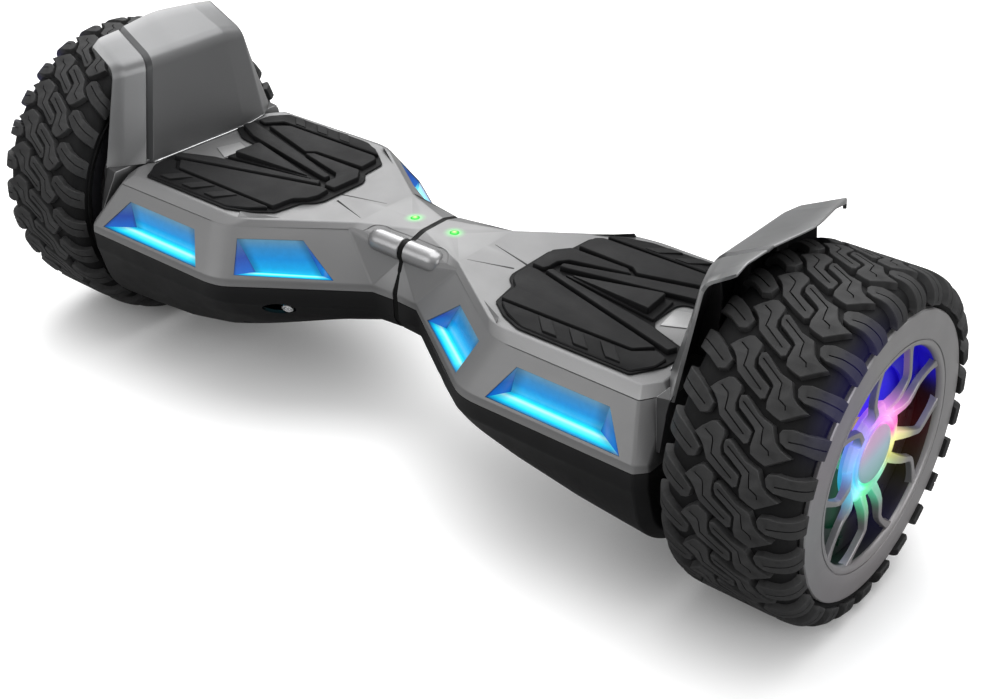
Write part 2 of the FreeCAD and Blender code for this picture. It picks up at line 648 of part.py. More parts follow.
def chassis_frame(pivot_bore_r):
    frame = prism(FRAME_OUTLINE, FRAME_BOTTOM, FRAME_TOP).cut(box(*CENTRE_OPENING, 110, 120))
    additions = [box(94, 232, -50, -47, FRAME_ROOT, 126),
                 box(94, 232, 47, 50, FRAME_ROOT, 126),
                 box(196, 231, -22, 22, 108.2, FRAME_TOP)]
    additions += [cyl_z(FRAME_ROOT, 133.3, 3.4, x, y) for x, y in mirrored_spots((114, 196), 37)]
    additions += [cyl_z(FRAME_ROOT, 120.9, 2.6, x, y) for x, y in mirrored_spots((72,), 9)]
    # arms out to the front and back
    additions += [box(x, x + 6, y, y + 24, FRAME_BOTTOM, FRAME_ROOT)
                  for y in (-74, 50) for x in (134, 190)]
    additions.append(cyl_x(22, 62, 24.0))
    frame = fuse_all(frame, additions).cut(cyl_x(20, 66, pivot_bore_r)).cut(AXLE_BORE)
    for x, y in CLAMP_SCREWS:
        frame = frame.cut(cyl_z(106, 116, 2.1, x, y))
    return frame


def axle_clamp():
    clamp = box(196, 231, -22, 22, 95.5, 107.8).cut(AXLE_BORE)
    for x, y in CLAMP_SCREWS:
        clamp = clamp.cut(cyl_z(90, 110, 2.3, x, y))
    return clamp


def clamp_screw(x, y):
    screw = cyl_z(91.6, 95.3, 3.6, x, y).fuse(cyl_z(95.3, 115.6, 1.9, x, y))
    return screw.cut(cyl_z(91.5, 93.7, 1.6, x, y))


# the right frame holds the bush, the left one the tube itself
save("chassis_frame_right", chassis_frame(20.0))
save("chassis_frame_left", mirror_x(chassis_frame(TUBE_R + .1)))
save_pair("axle_clamp", axle_clamp())
save_pair("clamp_screws", Part.makeCompound([clamp_screw(x, y) for x, y in CLAMP_SCREWS]))

# ---------------------------------------------------------------- pivot, harness, seal
# Front half of the seam outline (y, z), from the crest down to the keel.
SEAM_OUTLINE = [(-11, CREST_Z), (-23.5, 144.6), (-36, 135.0), (-41.0, 113.0), (-40.8, 107.6),
                (-40.6, 94.0), (-35.0, 85.0), (-22, 79.5), (0, 78.0)]
SEAL_X = -1.5
SEAL_WIDTH = 2.8


def pivot_tube():
    groove_ring = cyl_x(62.7, 64.0, TUBE_R + 1).cut(cyl_x(62, 65, 15.0))
    return cyl_x(-66, 64.5, TUBE_R).cut(cyl_x(-70, 70, 12.5)).cut(groove_ring)


def pivot_circlip():
    ring = cyl_x(62.8, 63.9, 19.2).cut(cyl_x(62, 65, 15.1))
    return ring.cut(box(62, 65, -3, 3, AXLE_Z, AXLE_Z + 30))


def pivot_bush():
    bush = cyl_x(20.0, 61.9, 19.9).fuse(cyl_x(18.2, 20.2, 23.0))
    return bush.cut(cyl_x(10, 70, TUBE_R + BUSH_CLR))


def harness():
    return fuse_all(cyl_x(-80, 78, 4.0), [box(78, 88, -6, 6, 104, 110),
                                          box(-90, -80, -6, 6, 104, 110)])


def seam_slab(inset, x, width):
    """slab of the seam outline, each point moved towards the axle line by inset"""
    half = []
    for y, z in SEAM_OUTLINE:
        length = math.hypot(y, z - AXLE_Z)
        scale = (length - inset) / length
        half.append((y * scale, AXLE_Z + (z - AXLE_Z) * scale))
    outline = half + [(-y, z) for y, z in reversed(half[:-1])]
    return polygon_face([Vector(x, y, z) for y, z in outline]).extrude(Vector(width, 0, 0))


def centre_seal():
    core = seam_slab(8.0, -2, 4)
    seal = seam_slab(1.4, SEAL_X, SEAL_WIDTH).cut(core)
    disc = cyl_x(SEAL_X, SEAL_X + SEAL_WIDTH, 6.4, CAPSULE_Y, CAPSULE_Z).cut(core)
    return seal.fuse(disc).removeSplitter()


save("pivot_tube", pivot_tube())
save("pivot_circlip", pivot_circlip())
save("pivot_bush", pivot_bush())
save("harness", harness())
save("centre_seal", centre_seal())

# ---------------------------------------------------------------- electronics
MAIN_TOP = 97.6
MAIN_ROOT = MAIN_TOP - EMBED
SPEAKER_X = 180


def runs_along_x(edge):
    start = edge.Vertexes[0].Point
    end = edge.Vertexes[-1].Point
    return abs(start.z - end.z) < .01 and abs(start.y - end.y) < .01


def battery_pack():
    """battery in the left half, with a connector at its seam end"""
    pack = box(-190, -97, -37, 37, 68.5, 108.0)
    pack = pack.makeFillet(5.0, [edge for edge in pack.Edges if runs_along_x(edge)])
    return pack.fuse(box(-97.5, -92, -10, 10, 80, 92))


def main_board():
    """board in the right half, with a finned block and smaller components"""
    board = box(98, 186, -40, 40, MAIN_TOP - BOARD_THICK, MAIN_TOP)
    board = board.fuse(box(110, 170, 14, 34, MAIN_ROOT, 108.5))
    for k in range(9):
        board = board.cut(box(112 + 6.4 * k, 115.4 + 6.4 * k, 12, 36, 100.5, 110))
    components = [cyl_z(MAIN_ROOT, 107.5, 6.0, x, -20) for x in (112, 128)]
    components.append(box(150, 178, -34, -14, MAIN_ROOT, 100.5))
    components += [box(x, x + 7, y - 3, y + 3, MAIN_ROOT, 104)
                   for x, y in ((146, -30), (152, 4), (164, 4), (176, 4))]
    return fuse_all(board, components)


def speaker():
    body = cyl_z(46.5, 50.0, 20.0, SPEAKER_X, 0).fuse(cyl_z(49.9, 58.0, 12.0, SPEAKER_X, 0))
    return body.cut(cyl_z(46, 48, 16.0, SPEAKER_X, 0))


def indicator():
    return cyl_z(143.2, 148.6, 2.9, INDICATOR_X, 0).fuse(cyl_z(141.4, 143.3, 4.6, INDICATOR_X, 0))


save("battery_pack", battery_pack())
save("main_board", main_board())
save("speaker", speaker())
save_pair("indicator", indicator())

# ---------------------------------------------------------------- wheels
# Closed profiles of (x, radius) points.
RIM_PROFILE = [
    (256.5, 78.0), (256.5, 86.5), (259.5, 86.5), (262.0, RIM_R), (329.5, RIM_R), (331.4, 86.4),
    (331.4, FLANGE_R), (336.6, FLANGE_R), (337.4, 87.9), (337.4, 75.2), (336.4, 74.4),
    (334.0, 74.4), (327.5, 76.0), (318.0, 76.0), (314.0, 24.0), (314.0, 16.3), (304.5, 16.3),
    (304.5, 22.0), (308.0, 26.0), (311.0, 72.0), (302.0, 73.0), (302.0, 69.2), (264.0, 69.2),
    (264.0, 76.0), (262.5, 78.0)]
MOTOR_COVER_PROFILE = [
    (257.0, 77.7), (262.0, 77.7), (263.6, 75.7), (263.6, 70.0), (262.9, 60.0), (262.9, 22.0),
    (262.9, 19.3), (255.2, 19.3), (255.2, 24.0), (258.4, 30.0), (258.4, 60.0), (257.0, 66.0)]
WHEEL_COVER_PROFILE = [
    (325.8, 24.0), (329.6, 74.0), (333.8, 74.1), (333.8, 66.0), (330.5, 23.0), (330.5, 0.0),
    (322.8, 0.0), (322.8, 22.0)]
HUB_CAP_PROFILE = [(330.7, 0), (330.7, 22.0), (331.6, 22.0), (332.6, 20.6), (333.0, 0)]
TYRE_PROFILE = [
    (256.0, 87.2), (259.8, 87.2), (262.3, 84.3), (329.3, 84.3), (331.0, 86.6), (331.0, 89.2),
    (337.0, 89.2), (338.8, 91.0), (TYRE_OUT, 95.0), (337.8, 99.5), (334.6, 103.6),
    (330.0, 106.4), (324.5, 107.7), (318.0, TYRE_R), (271.0, TYRE_R), (264.5, 107.7),
    (259.0, 106.2), (254.6, 103.2), (251.4, 98.5), (TYRE_IN, 94.0), (250.8, 90.2), (252.6, 87.6)]
# Cover windows: degrees from the window's centre line, radius.
NARROW_WINDOW = [(-9.5, 65.0), (0, 66.0), (9.5, 65.0), (11, 50.0), (7, 36.0), (-7, 36.0),
                 (-11, 50.0)]
WIDE_WINDOW = [(-16.5, 64.0), (-6, 66.0), (6, 66.0), (16.5, 64.0), (13.5, 48.0), (10, 34.0),
               (-10, 34.0), (-13.5, 48.0)]
STATOR_SLOTS = 18
RING_LEDS = 15
COVER_SPOKES = 5
TREAD_BLOCKS = 27
STATOR_BORE_R = 10.15     # over the thick part of the axle


def axle():
    shaft = fuse_all(cyl_x(192, 262, AXLE_R), [cyl_x(261.9, 303.5, 10.0),
                                               cyl_x(303.4, 315.0, AXLE_R)])
    shaft = shaft.cut(cyl_x(190, 290, 3.0))
    # flats above and below at the inner end
    shaft = shaft.cut(box(190, 200, -10, 10, AXLE_Z + 6.0, AXLE_Z + 12))
    return shaft.cut(box(190, 200, -10, 10, AXLE_Z - 12, AXLE_Z - 6.0))


def stator():
    core = cyl_x(268, 298, 68.0).cut(cyl_x(266, 300, 52.0))
    for k in range(STATOR_SLOTS):
        core = core.cut(around_axle(box(266, 300, 56, 69, -2.4, 2.4), 360 / STATOR_SLOTS * k))
    core = core.fuse(cyl_x(280, 286, 53.0).cut(cyl_x(278, 288, STATOR_BORE_R)))
    return core.fuse(cyl_x(270, 297, 16.0).cut(cyl_x(266, 300, STATOR_BORE_R)))


def wheel_bearings():
    inner_bearing = cyl_x(255.4, 261.7, 19.2).cut(cyl_x(250, 270, AXLE_R + .05))
    outer_bearing = cyl_x(304.6, 313.9, 16.2).cut(cyl_x(300, 320, AXLE_R + .05))
    return Part.makeCompound([inner_bearing, outer_bearing])


def light_ring():
    ring = cyl_x(319.2, 320.8, 70.0).cut(cyl_x(318, 322, 50.0))
    return fuse_all(ring, [around_axle(box(320.7, 322.6, -2.5, 2.5, 57.5, 62.5),
                                       360 / RING_LEDS * k) for k in range(RING_LEDS)])


def cover_window(outline, centre):
    """prism along X through the cover, its centre line at the angle centre"""
    points = []
    for offset, radius in outline:
        angle = math.radians(centre + offset)
        points.append(Vector(300, radius * math.cos(angle), AXLE_Z + radius * math.sin(angle)))
    return polygon_face(points).extrude(Vector(60, 0, 0))


def wheel_cover():
    cover = turned(WHEEL_COVER_PROFILE)
    pitch = 360.0 / COVER_SPOKES
    for k in range(COVER_SPOKES):
        centre = 84.0 + pitch * k
        cover = cover.cut(cover_window(NARROW_WINDOW, centre))
        cover = cover.cut(cover_window(WIDE_WINDOW, centre + pitch / 2))
    return cover


def tyre():
    """tyre with shoulder grooves, staggered between the outer and inner sides"""
    body = turned(TYRE_PROFILE)
    pitch = 360.0 / TREAD_BLOCKS
    for k in range(TREAD_BLOCKS):
        for x0, x1, phase in ((327.3, 345, .25), (245, 261.4, .75)):
            block = box(x0, x1, -2.6, 2.6, 101.0, 112)
            body = body.cut(around_axle(block, (k + phase) * pitch))
    return body


save_pair("axle", axle())
save_pair("stator", stator())
save_pair("wheel_rim", turned(RIM_PROFILE))
save_pair("motor_cover", turned(MOTOR_COVER_PROFILE))
save_pair("wheel_bearings", wheel_bearings())
save_pair("light_ring", light_ring())
save_pair("wheel_cover", wheel_cover())
save_pair("hub_cap", turned(HUB_CAP_PROFILE))
save_pair("tyre", tyre())
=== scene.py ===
"""A two-wheeled self-balancing board with foot pads, wheel fenders and lit lamps, in a studio.

The axle runs along x, z is up and the tyres stand on z = 0. The right half lies at +x and the
left half at -x; the front looks to -y. The origin is on the floor below the middle seam.
Geometry is in millimetres and is scaled when a mesh is made. Shader, light and camera
distances are in metres.
"""
from contextlib import contextmanager
from math import acos, cos, floor, hypot, pi, radians, sin, sqrt

import bmesh
import bpy
import numpy as np
from mathutils import Matrix, Vector
from mathutils.bvhtree import BVHTree


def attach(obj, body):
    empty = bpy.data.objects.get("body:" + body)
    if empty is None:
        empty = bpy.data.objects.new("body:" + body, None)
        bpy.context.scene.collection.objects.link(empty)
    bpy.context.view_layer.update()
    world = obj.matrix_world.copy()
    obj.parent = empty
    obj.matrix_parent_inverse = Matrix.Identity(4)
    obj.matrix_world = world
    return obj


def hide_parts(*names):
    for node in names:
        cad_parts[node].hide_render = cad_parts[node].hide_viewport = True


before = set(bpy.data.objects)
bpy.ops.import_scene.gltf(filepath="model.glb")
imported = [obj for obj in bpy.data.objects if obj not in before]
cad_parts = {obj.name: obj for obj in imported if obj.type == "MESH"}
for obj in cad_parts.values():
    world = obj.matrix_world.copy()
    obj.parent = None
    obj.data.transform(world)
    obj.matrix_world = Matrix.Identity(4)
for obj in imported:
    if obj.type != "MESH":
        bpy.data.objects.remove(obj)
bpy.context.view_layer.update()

scene = bpy.context.scene

MM = 0.001
TYRE_RADIUS = 108.0
AXLE_Z = TYRE_RADIUS        # the tyres touch the floor
HALF_GAP = 2.1              # from the middle plane to the edge of each shell
WALL = 2.6                  # shell thickness
DECK_Z = 146.5
STATUS_X = 17.4             # status lamps, on the centre line of the deck
CAPSULE_Y, CAPSULE_Z, CAPSULE_RADIUS = -28, 139.6, 8.0
AXLE_HOLE_RADIUS = 12.5
CORNER_STEPS = 6            # steps round the outer corner of both shells

BODY = {"right": "right_half", "left": "left_half"}
SIDES = (("right", 1), ("left", -1))
MIRROR_X, MIRROR_Y, HALF_TURN = (-1, 1), (1, -1), (-1, -1)


def clamp(value):
    return max(0, min(1, value))


# ------------------------------------------------------------------ shader building
def scaled(colour, factor):
    return tuple(min(1, c * factor) for c in colour)


def turn(degrees):
    """Angle round the axle as a fraction of a turn, counted from -180 degrees."""
    return degrees / 360.0 + .5


class Nodes:
    """Adds nodes to a tree; the methods return output sockets, and add() the node."""

    def __init__(self, tree):
        self.tree = tree

    def fill(self, socket, value):
        """Link a socket, or set a value; colours are given without alpha."""
        if hasattr(value, "is_linked"):
            self.tree.links.new(value, socket)
        elif socket.type == "RGBA":
            socket.default_value = (*value, 1.0)
        else:
            socket.default_value = value

    def add(self, kind, inputs=(), **settings):
        node = self.tree.nodes.new("ShaderNode" + kind)
        for name, value in settings.items():
            setattr(node, name, value)
        for key, value in dict(inputs).items():
            self.fill(node.inputs[key], value)
        return node

    def remap(self, value, span, to=(0, 1), kind="LINEAR"):
        inputs = {0: value, 1: span[0], 2: span[1], 3: to[0], 4: to[1]}
        return self.add("MapRange", inputs, clamp=True, interpolation_type=kind).outputs[0]

    def smooth(self, value, span, to=(0, 1)):
        return self.remap(value, span, to, "SMOOTHSTEP")

    def math(self, operation, a, b=0.0):
        return self.add("Math", {0: a, 1: b}, operation=operation).outputs[0]

    def product(self, result, *factors):
        for factor in factors:
            result = self.math("MULTIPLY", result, factor)
        return result

    def mix(self, factor, a, b, blend="MIX"):
        return self.add("Mix", {0: factor, 6: a, 7: b}, data_type="RGBA", blend_type=blend,
                        clamp_factor=True).outputs[2]

    def ramp(self, place, stops):
        node = self.add("ValToRGB", {0: place})
        elements = node.color_ramp.elements
        while len(elements) < len(stops):
            elements.new(0.5)
        for element, (position, colour) in zip(elements, stops):
            element.position = position
            element.color = (*colour, 1.0)
        return node.outputs["Color"]

    def turn_ramp(self, around, stops):
        """Ramp whose stops are given in degrees round the axle."""
        return self.ramp(around, [(turn(degrees), colour) for degrees, colour in stops])

    def camera_ray(self):
        return self.add("LightPath").outputs["Is Camera Ray"]


class Surface(Nodes):
    """The tree of a material with one Principled node, read in object coordinates."""

    def __init__(self, material):
        super().__init__(material.node_tree)
        self.material = material
        self.bsdf = self.tree.nodes[material["bsdf"]]
        self.place = self.add("TexCoord").outputs["Object"]

    def set(self, **inputs):
        """Set Principled inputs; base_color stands for "Base Color"."""
        for name, value in inputs.items():
            label = name.replace("_", " ").title()
            if name == "specular":
                label = "Specular IOR Level"
            self.fill(self.bsdf.inputs[label], value)

    def noise(self, scale, detail=3.0, place=None):
        inputs = {"Vector": place or self.place, "Scale": scale, "Detail": detail,
                  "Roughness": .55, "Distortion": 0.0}
        return self.add("TexNoise", inputs).outputs["Fac"]

    def mottle(self, scale, detail=3.0, to=(0, 1), place=None):
        """Noise with its middle range spread over to."""
        return self.remap(self.noise(scale, detail, place), span=(.3, .7), to=to)

    def bump(self, height, strength, depth):
        inputs = {"Height": height, "Strength": strength, "Distance": depth}
        return self.add("Bump", inputs).outputs[0]

    def grain(self, scale, strength, depth, detail=2.0):
        return self.bump(self.noise(scale, detail), strength, depth)

    def wear(self, colour, amount, bare):
        """Mix the edge colour in on convex edges: wear on most materials, a painted highlight on
        the fender paint.
        """
        pointiness = self.add("NewGeometry").outputs["Pointiness"]
        edges = self.smooth(pointiness, span=(.5, .62))
        return self.mix(self.product(edges, amount), colour, bare)

    def occlusion(self, samples, distance):
        return self.add("AmbientOcclusion", {"Distance": distance}, samples=samples).outputs["AO"]

    def axes(self):
        return self.add("SeparateXYZ", {0: self.place}).outputs

    def length(self, a, b):
        total = self.math("ADD", self.product(a, a), self.product(b, b))
        return self.math("SQRT", total)

    def sector(self, around, rise, fall):
        """1 between two angles, easing in over rise and out over fall, in degrees."""
        return self.product(self.smooth(around, [turn(d) for d in rise]),
                            self.smooth(around, [turn(d) for d in fall]))


def new_surface(name):
    material = bpy.data.materials.new(name)
    material.use_nodes = True
    tree = material.node_tree
    tree.nodes.clear()
    output = tree.nodes.new("ShaderNodeOutputMaterial")
    bsdf = tree.nodes.new("ShaderNodeBsdfPrincipled")
    tree.links.new(bsdf.outputs[0], output.inputs[0])
    material["bsdf"] = bsdf.name
    return Surface(material)


# ------------------------------------------------------------------ general materials
def paint(name, base, metallic=.55, rough=.34, flake=.05, edge=.10, coat=.25, glow=None):
    """Sprayed paint with flakes, edges lightened for wear and painted highlight, and painted shade
    in its corners.
    """
    shader = new_surface(name)
    clouds = shader.mottle(scale=9.0, detail=2.0)
    colour = shader.mix(clouds, scaled(base, .95), scaled(base, 1.05))
    flakes = shader.remap(shader.noise(scale=2600.0, detail=1.0), span=(.35, .65), to=(0, flake))
    colour = shader.mix(flakes, colour, scaled(base, 1.9))
    colour = shader.wear(colour, amount=edge, bare=(.8, .8, .8))
    # painted shade: occlusion darkens the paint colour in corners and creases, where the surface
    # is hemmed in
    corners = shader.occlusion(samples=6, distance=.055)
    shade = shader.smooth(corners, span=(.25, .95), to=(.42, 1.0))
    shader.set(base_color=shader.mix(1.0, colour, shade, "MULTIPLY"),
               metallic=metallic,
               roughness=shader.mottle(scale=60.0, detail=4.0, to=(rough - .03, rough + .05)),
               coat_weight=coat, coat_roughness=.12,
               normal=shader.grain(scale=900.0, strength=.08, depth=.00008))
    if glow:
        glow(shader)
    return shader.material


def plastic(name, base, rough=.42, grain=1400.0, bump=.25, edge=0.0, specular=.5, coat=0.0):
    """Moulded plastic or rubber with a fine grain; edge lightens its convex edges."""
    variation = .18
    shader = new_surface(name)
    colour = shader.mix(shader.mottle(scale=14.0),
                        scaled(base, 1 - variation), scaled(base, 1 + variation))
    if edge:
        bare = tuple(min(1, c * 2.5 + .05) for c in base)
        colour = shader.wear(colour, amount=edge, bare=bare)
    shader.set(base_color=colour,
               roughness=shader.mottle(scale=45.0, detail=4.0, to=(rough - .05, rough + .06)),
               specular=specular, coat_weight=coat, coat_roughness=.1,
               normal=shader.grain(scale=grain, strength=bump, depth=.00012))
    return shader.material


def metal(name, base, rough=.3, brush=(1, 1, 1), bump=.15):
    """Bare metal; brush squeezes the scratches along each axis."""
    variation = .1
    shader = new_surface(name)
    stretched = shader.add("Mapping", {0: shader.place, "Scale": brush}).outputs[0]
    scratches = shader.noise(scale=700.0, place=stretched)
    shader.set(base_color=shader.mix(shader.mottle(scale=30.0), scaled(base, 1 - variation),
                                     scaled(base, 1 + variation)),
               metallic=1.0,
               roughness=shader.remap(scratches, span=(.3, .7),
                                      to=(max(.05, rough - .08), rough + .1)),
               normal=shader.bump(scratches, strength=bump, depth=.0001))
    return shader.material


def board(name, base=(.012, .09, .04)):
    """Circuit board with raised tracks and gilt spots."""
    shader = new_surface(name)
    cells = shader.add("TexVoronoi", {"Vector": shader.place, "Scale": 260.0},
                       feature="DISTANCE_TO_EDGE")
    tracks = shader.smooth(cells.outputs["Distance"], span=(.02, .05), to=(1, 0))
    colour = shader.mix(tracks, base, scaled(base, 2.2))
    spots = shader.remap(shader.noise(scale=400, detail=2), span=(.6, .64), to=(0, .7))
    shader.set(base_color=shader.mix(spots, colour, (.5, .42, .2)), roughness=.35,
               normal=shader.bump(tracks, strength=.3, depth=.0001))
    return shader.material


# ------------------------------------------------------------------ status lamp light
def status_distance(shader, x, y):
    """Distance in plan from the nearer status lamp."""
    offset = shader.math("SUBTRACT", shader.math("ABSOLUTE", x), STATUS_X * MM)
    return shader.length(offset, y)


def status_glow(shader):
    """Green light bleeding round the two status lamps, on the deck only."""
    x, y, z = shader.axes()
    near = shader.smooth(status_distance(shader, x, y), span=(.0028, .0100), to=(1, 0))
    deck = shader.smooth(z, span=(.140, .145))
    strength = shader.product(shader.product(near, near), shader.product(deck, .60))
    shader.set(emission_color=(.02, .8, .06), emission_strength=strength)


def status_material():
    shader = new_surface("status_lamp")
    x, y, _ = shader.axes()
    core = shader.smooth(status_distance(shader, x, y), span=(0, .0026), to=(1, 0))
    shader.set(base_color=(.05, .5, .08), roughness=.2,
               emission_color=shader.mix(core, (.01, .62, .03), (.60, 1.0, .12)),
               emission_strength=shader.remap(core, span=(0, 1), to=(.75, 1.25)),
               normal=shader.grain(scale=800, strength=.1, depth=.0001))
    return shader.material


# ------------------------------------------------------------------ blue lamp light
# Colours up each face of a lamp tray, from its lower edge to its upper one.
SLOPE_STOPS = [(0.0, (.0, .60, 1.0)), (.16, (.0, .44, .92)), (.42, (.0, .30, .78)),
               (.72, (.03, .27, .60)), (1.0, (.13, .30, .42))]
END_STOPS = [(0.0, (.0, .12, .62)), (.45, (.01, .04, .36)), (1.0, (.07, .15, .26))]
LEDGE_STOPS = [(0.0, (.0, .05, .12)), (.10, (.0, .30, .55)), (.26, (.0, .72, 1.0)),
               (.50, (.16, .92, 1.0)), (.66, (.52, 1.0, 1.0)), (.84, (.02, .78, 1.0)),
               (1.0, (.0, .55, 1.0))]
# Face kinds stored in the red channel of the "lens" attribute.
SLOPE, END, LEDGE = 0.0, .45, 1.0


def lens_material():
    """Lit tray; "lens" holds the face kind, the height on it and the place along it."""
    shader = new_surface("light_lens")
    lens = shader.add("Attribute", attribute_name="lens").outputs["Color"]
    kind, height, along = shader.add("SeparateColor", {0: lens}).outputs
    slope, end, ledge = (shader.ramp(height, stops)
                         for stops in (SLOPE_STOPS, END_STOPS, LEDGE_STOPS))
    is_ledge = shader.smooth(kind, span=(.6, .7))
    is_end = shader.product(shader.smooth(kind, span=(.25, .3)),
                            shader.math("SUBTRACT", 1.0, is_ledge))
    colour = shader.mix(is_end, slope, end)
    colour = shader.mix(is_ledge, colour, ledge)
    middle = shader.product(shader.smooth(along, span=(0, .14)),
                            shader.smooth(along, span=(1, .86)))
    # the ledge is brighter, and the two ends of the tray are dimmer
    strength = shader.product(shader.math("ADD", .80, shader.product(is_ledge, .35)),
                              shader.math("ADD", .55, shader.product(middle, .45)))
    flicker = shader.mottle(scale=260, detail=2, to=(.95, 1.05))
    shader.set(base_color=(.01, .05, .12), roughness=.18, coat_weight=.4, emission_color=colour,
               emission_strength=shader.product(strength, flicker))
    return shader.material


# ------------------------------------------------------------------ wheel light
# Colours round the axle: (degrees from +y towards +z, colour).
HUB_GLOW = [(-180, (.06, .46, .95)), (-161, (.01, .60, .92)), (-128, (.22, .95, .98)),
            (-106, (.03, .80, .26)), (-80, (.06, .60, .34)), (-58, (.18, .76, .48)),
            (-31, (.46, .48, .02)), (-4, (.95, .90, .26)), (20, (.95, .02, .52)),
            (55, (1.0, .36, .86)), (85, (.84, .18, .85)), (110, (.46, .16, .92)),
            (148, (.20, .32, .95)), (180, (.06, .46, .95))]
INNER_GLOW = [(-180, (.0, .03, .09)), (-162, (.0, .10, .04)), (-137, (.004, .010, .012)),
              (-106, (.0, .05, .018)), (-92, (.008, .004, .010)), (-66, (.022, .014, .11)),
              (-38, (.075, .065, .008)), (-12, (.15, .006, .008)), (12, (.020, .003, .010)),
              (43, (.006, .003, .020)), (63, (.010, .004, .055)), (74, (.014, .004, .30)),
              (90, (.020, .004, .85)), (125, (.026, .010, 1.0)), (143, (.022, .008, .60)),
              (162, (.0, .03, .14)), (180, (.0, .03, .09))]
# Painted coloured light from the wheel lamps, multiplied into the silver round the axle.
COVER_PAINTED_LIGHT = [(-180, (.62, .68, .70)), (-130, (.66, .62, .66)), (-90, (.68, .62, .64)),
              (-20, (.66, .66, .66)), (110, (.66, .66, .66)), (135, (.60, .55, .74)),
              (160, (.66, .60, .68)), (180, (.62, .68, .70))]


def axle_axes(shader):
    """x, y and the height above the axle."""
    x, y, z = shader.axes()
    return x, y, shader.math("SUBTRACT", z, AXLE_Z * MM)


def angle_around(shader, y, z):
    """Place round the axle as a fraction of a turn."""
    angle = shader.math("ARCTAN2", z, y)
    return shader.math("ADD", shader.product(angle, 1 / (2 * pi)), .5)


def cover_material():
    """Silver of the rim and spokes with painted light from the wheel lamps: tinted round the axle
    and glowing in many colours near the hub.
    """
    shader = new_surface("wheel_silver")
    _, y, z = axle_axes(shader)
    around, radius = angle_around(shader, y, z), shader.length(z, y)
    colour = shader.mix(shader.mottle(scale=12), (.43, .422, .426), (.48, .472, .476))
    # painted coloured light from the wheel lamps on the silver
    colour = shader.mix(.55, colour, shader.turn_ramp(around, COVER_PAINTED_LIGHT), "MULTIPLY")
    colour = shader.wear(colour, amount=.25, bare=(.85, .85, .85))
    fade = shader.math("POWER", shader.smooth(radius, span=(.023, .046), to=(1, 0)), 1.4)
    patches = shader.mottle(scale=55, detail=2, to=(.75, 1.25))
    shader.set(base_color=colour, metallic=.55,
               roughness=shader.mottle(scale=60, detail=4, to=(.33, .43)),
               normal=shader.grain(scale=1100, strength=.18, depth=.00009),
               emission_color=shader.turn_ramp(around, HUB_GLOW),
               emission_strength=shader.product(fade, patches, .92))
    return shader.material


def inner_material():
    """Dark inside of the wheel with coloured light and a violet field on the back disc."""
    shader = new_surface("wheel_inner_glow")
    x, y, z = axle_axes(shader)
    around, radius = angle_around(shader, y, z), shader.length(z, y)
    violet = shader.product(shader.sector(around, rise=(4, 24), fall=(110, 85)),
                            shader.smooth(radius, span=(.088, .080)))
    blue = shader.sector(around, rise=(70, 88), fall=(158, 140))
    blue = shader.product(blue, shader.smooth(radius, span=(.040, .074), to=(1, .45)))
    light = shader.smooth(radius, span=(.028, .064), to=(1, .12))
    light = shader.math("MAXIMUM", light, blue)
    light = shader.math("MAXIMUM", light, shader.product(violet, .36))
    outer_part = shader.smooth(shader.math("ABSOLUTE", x), span=(.300, .306))
    patches = shader.mottle(scale=30, detail=2, to=(.8, 1.2))
    glow = shader.mix(violet, shader.turn_ramp(around, INNER_GLOW), (.012, .004, .80))
    shader.set(base_color=shader.mix(shader.noise(scale=25), (.02, .02, .025), (.05, .05, .055)),
               roughness=.38, metallic=.3, emission_color=glow,
               emission_strength=shader.product(light, outer_part, patches),
               normal=shader.grain(scale=300, detail=3, strength=.15, depth=.0002))
    return shader.material


def hub_material():
    """Disc from green at the bottom to pink at the top, in the colours of the wheel light round
    it: painted reflection and a faint painted glow.
    """
    shader = new_surface("hub_pearl_disc")
    _, y, z = axle_axes(shader)
    # one ramp length is 1/21 m of height, tilted a little by y
    place = shader.math("ADD", shader.product(z, 21.0), shader.product(y, -3.0))
    place = shader.math("ADD", place, .5)
    # painted reflection of the coloured wheel light, used for the base colour and for a faint glow
    painted_wheel_light = shader.ramp(place, [(0.0, (.22, .48, .42)), (.25, (.20, .50, .50)),
                                (.5, (.36, .55, .66)), (.72, (.62, .42, .66)),
                                (1.0, (.72, .34, .62))])
    shader.set(base_color=shader.mix(.25, painted_wheel_light, (.6, .6, .62)), metallic=.35,
               roughness=shader.mottle(scale=120, to=(.30, .40)), coat_weight=.4,
               emission_color=painted_wheel_light, emission_strength=.30,
               normal=shader.grain(scale=1200, strength=.12, depth=.00008))
    return shader.material


def add_spill(material):
    """Violet light from the wheel on the rubber next to the rim."""
    shader = Surface(material)
    x, y, z = axle_axes(shader)
    lit = shader.sector(angle_around(shader, y, z), rise=(92, 118), fall=(160, 134))
    outer = shader.smooth(shader.math("ABSOLUTE", x), span=(.322, .339))
    outer = shader.math("POWER", outer, 1.5)
    shader.set(emission_color=(.05, .03, .55),
               emission_strength=shader.product(shader.product(lit, outer), .07))


# ------------------------------------------------------------------ the materials
SHELL_PAINT = paint("shell_paint", (.215, .215, .217), metallic=.32, rough=.42, coat=.10,
                    glow=status_glow)
# painted highlight: the large edge amount lightens the fender's convex edges and bends, standing
# for their bright highlight
FENDER_PAINT = paint("fender_paint", (.205, .207, .21), rough=.32, edge=.45, coat=.12)
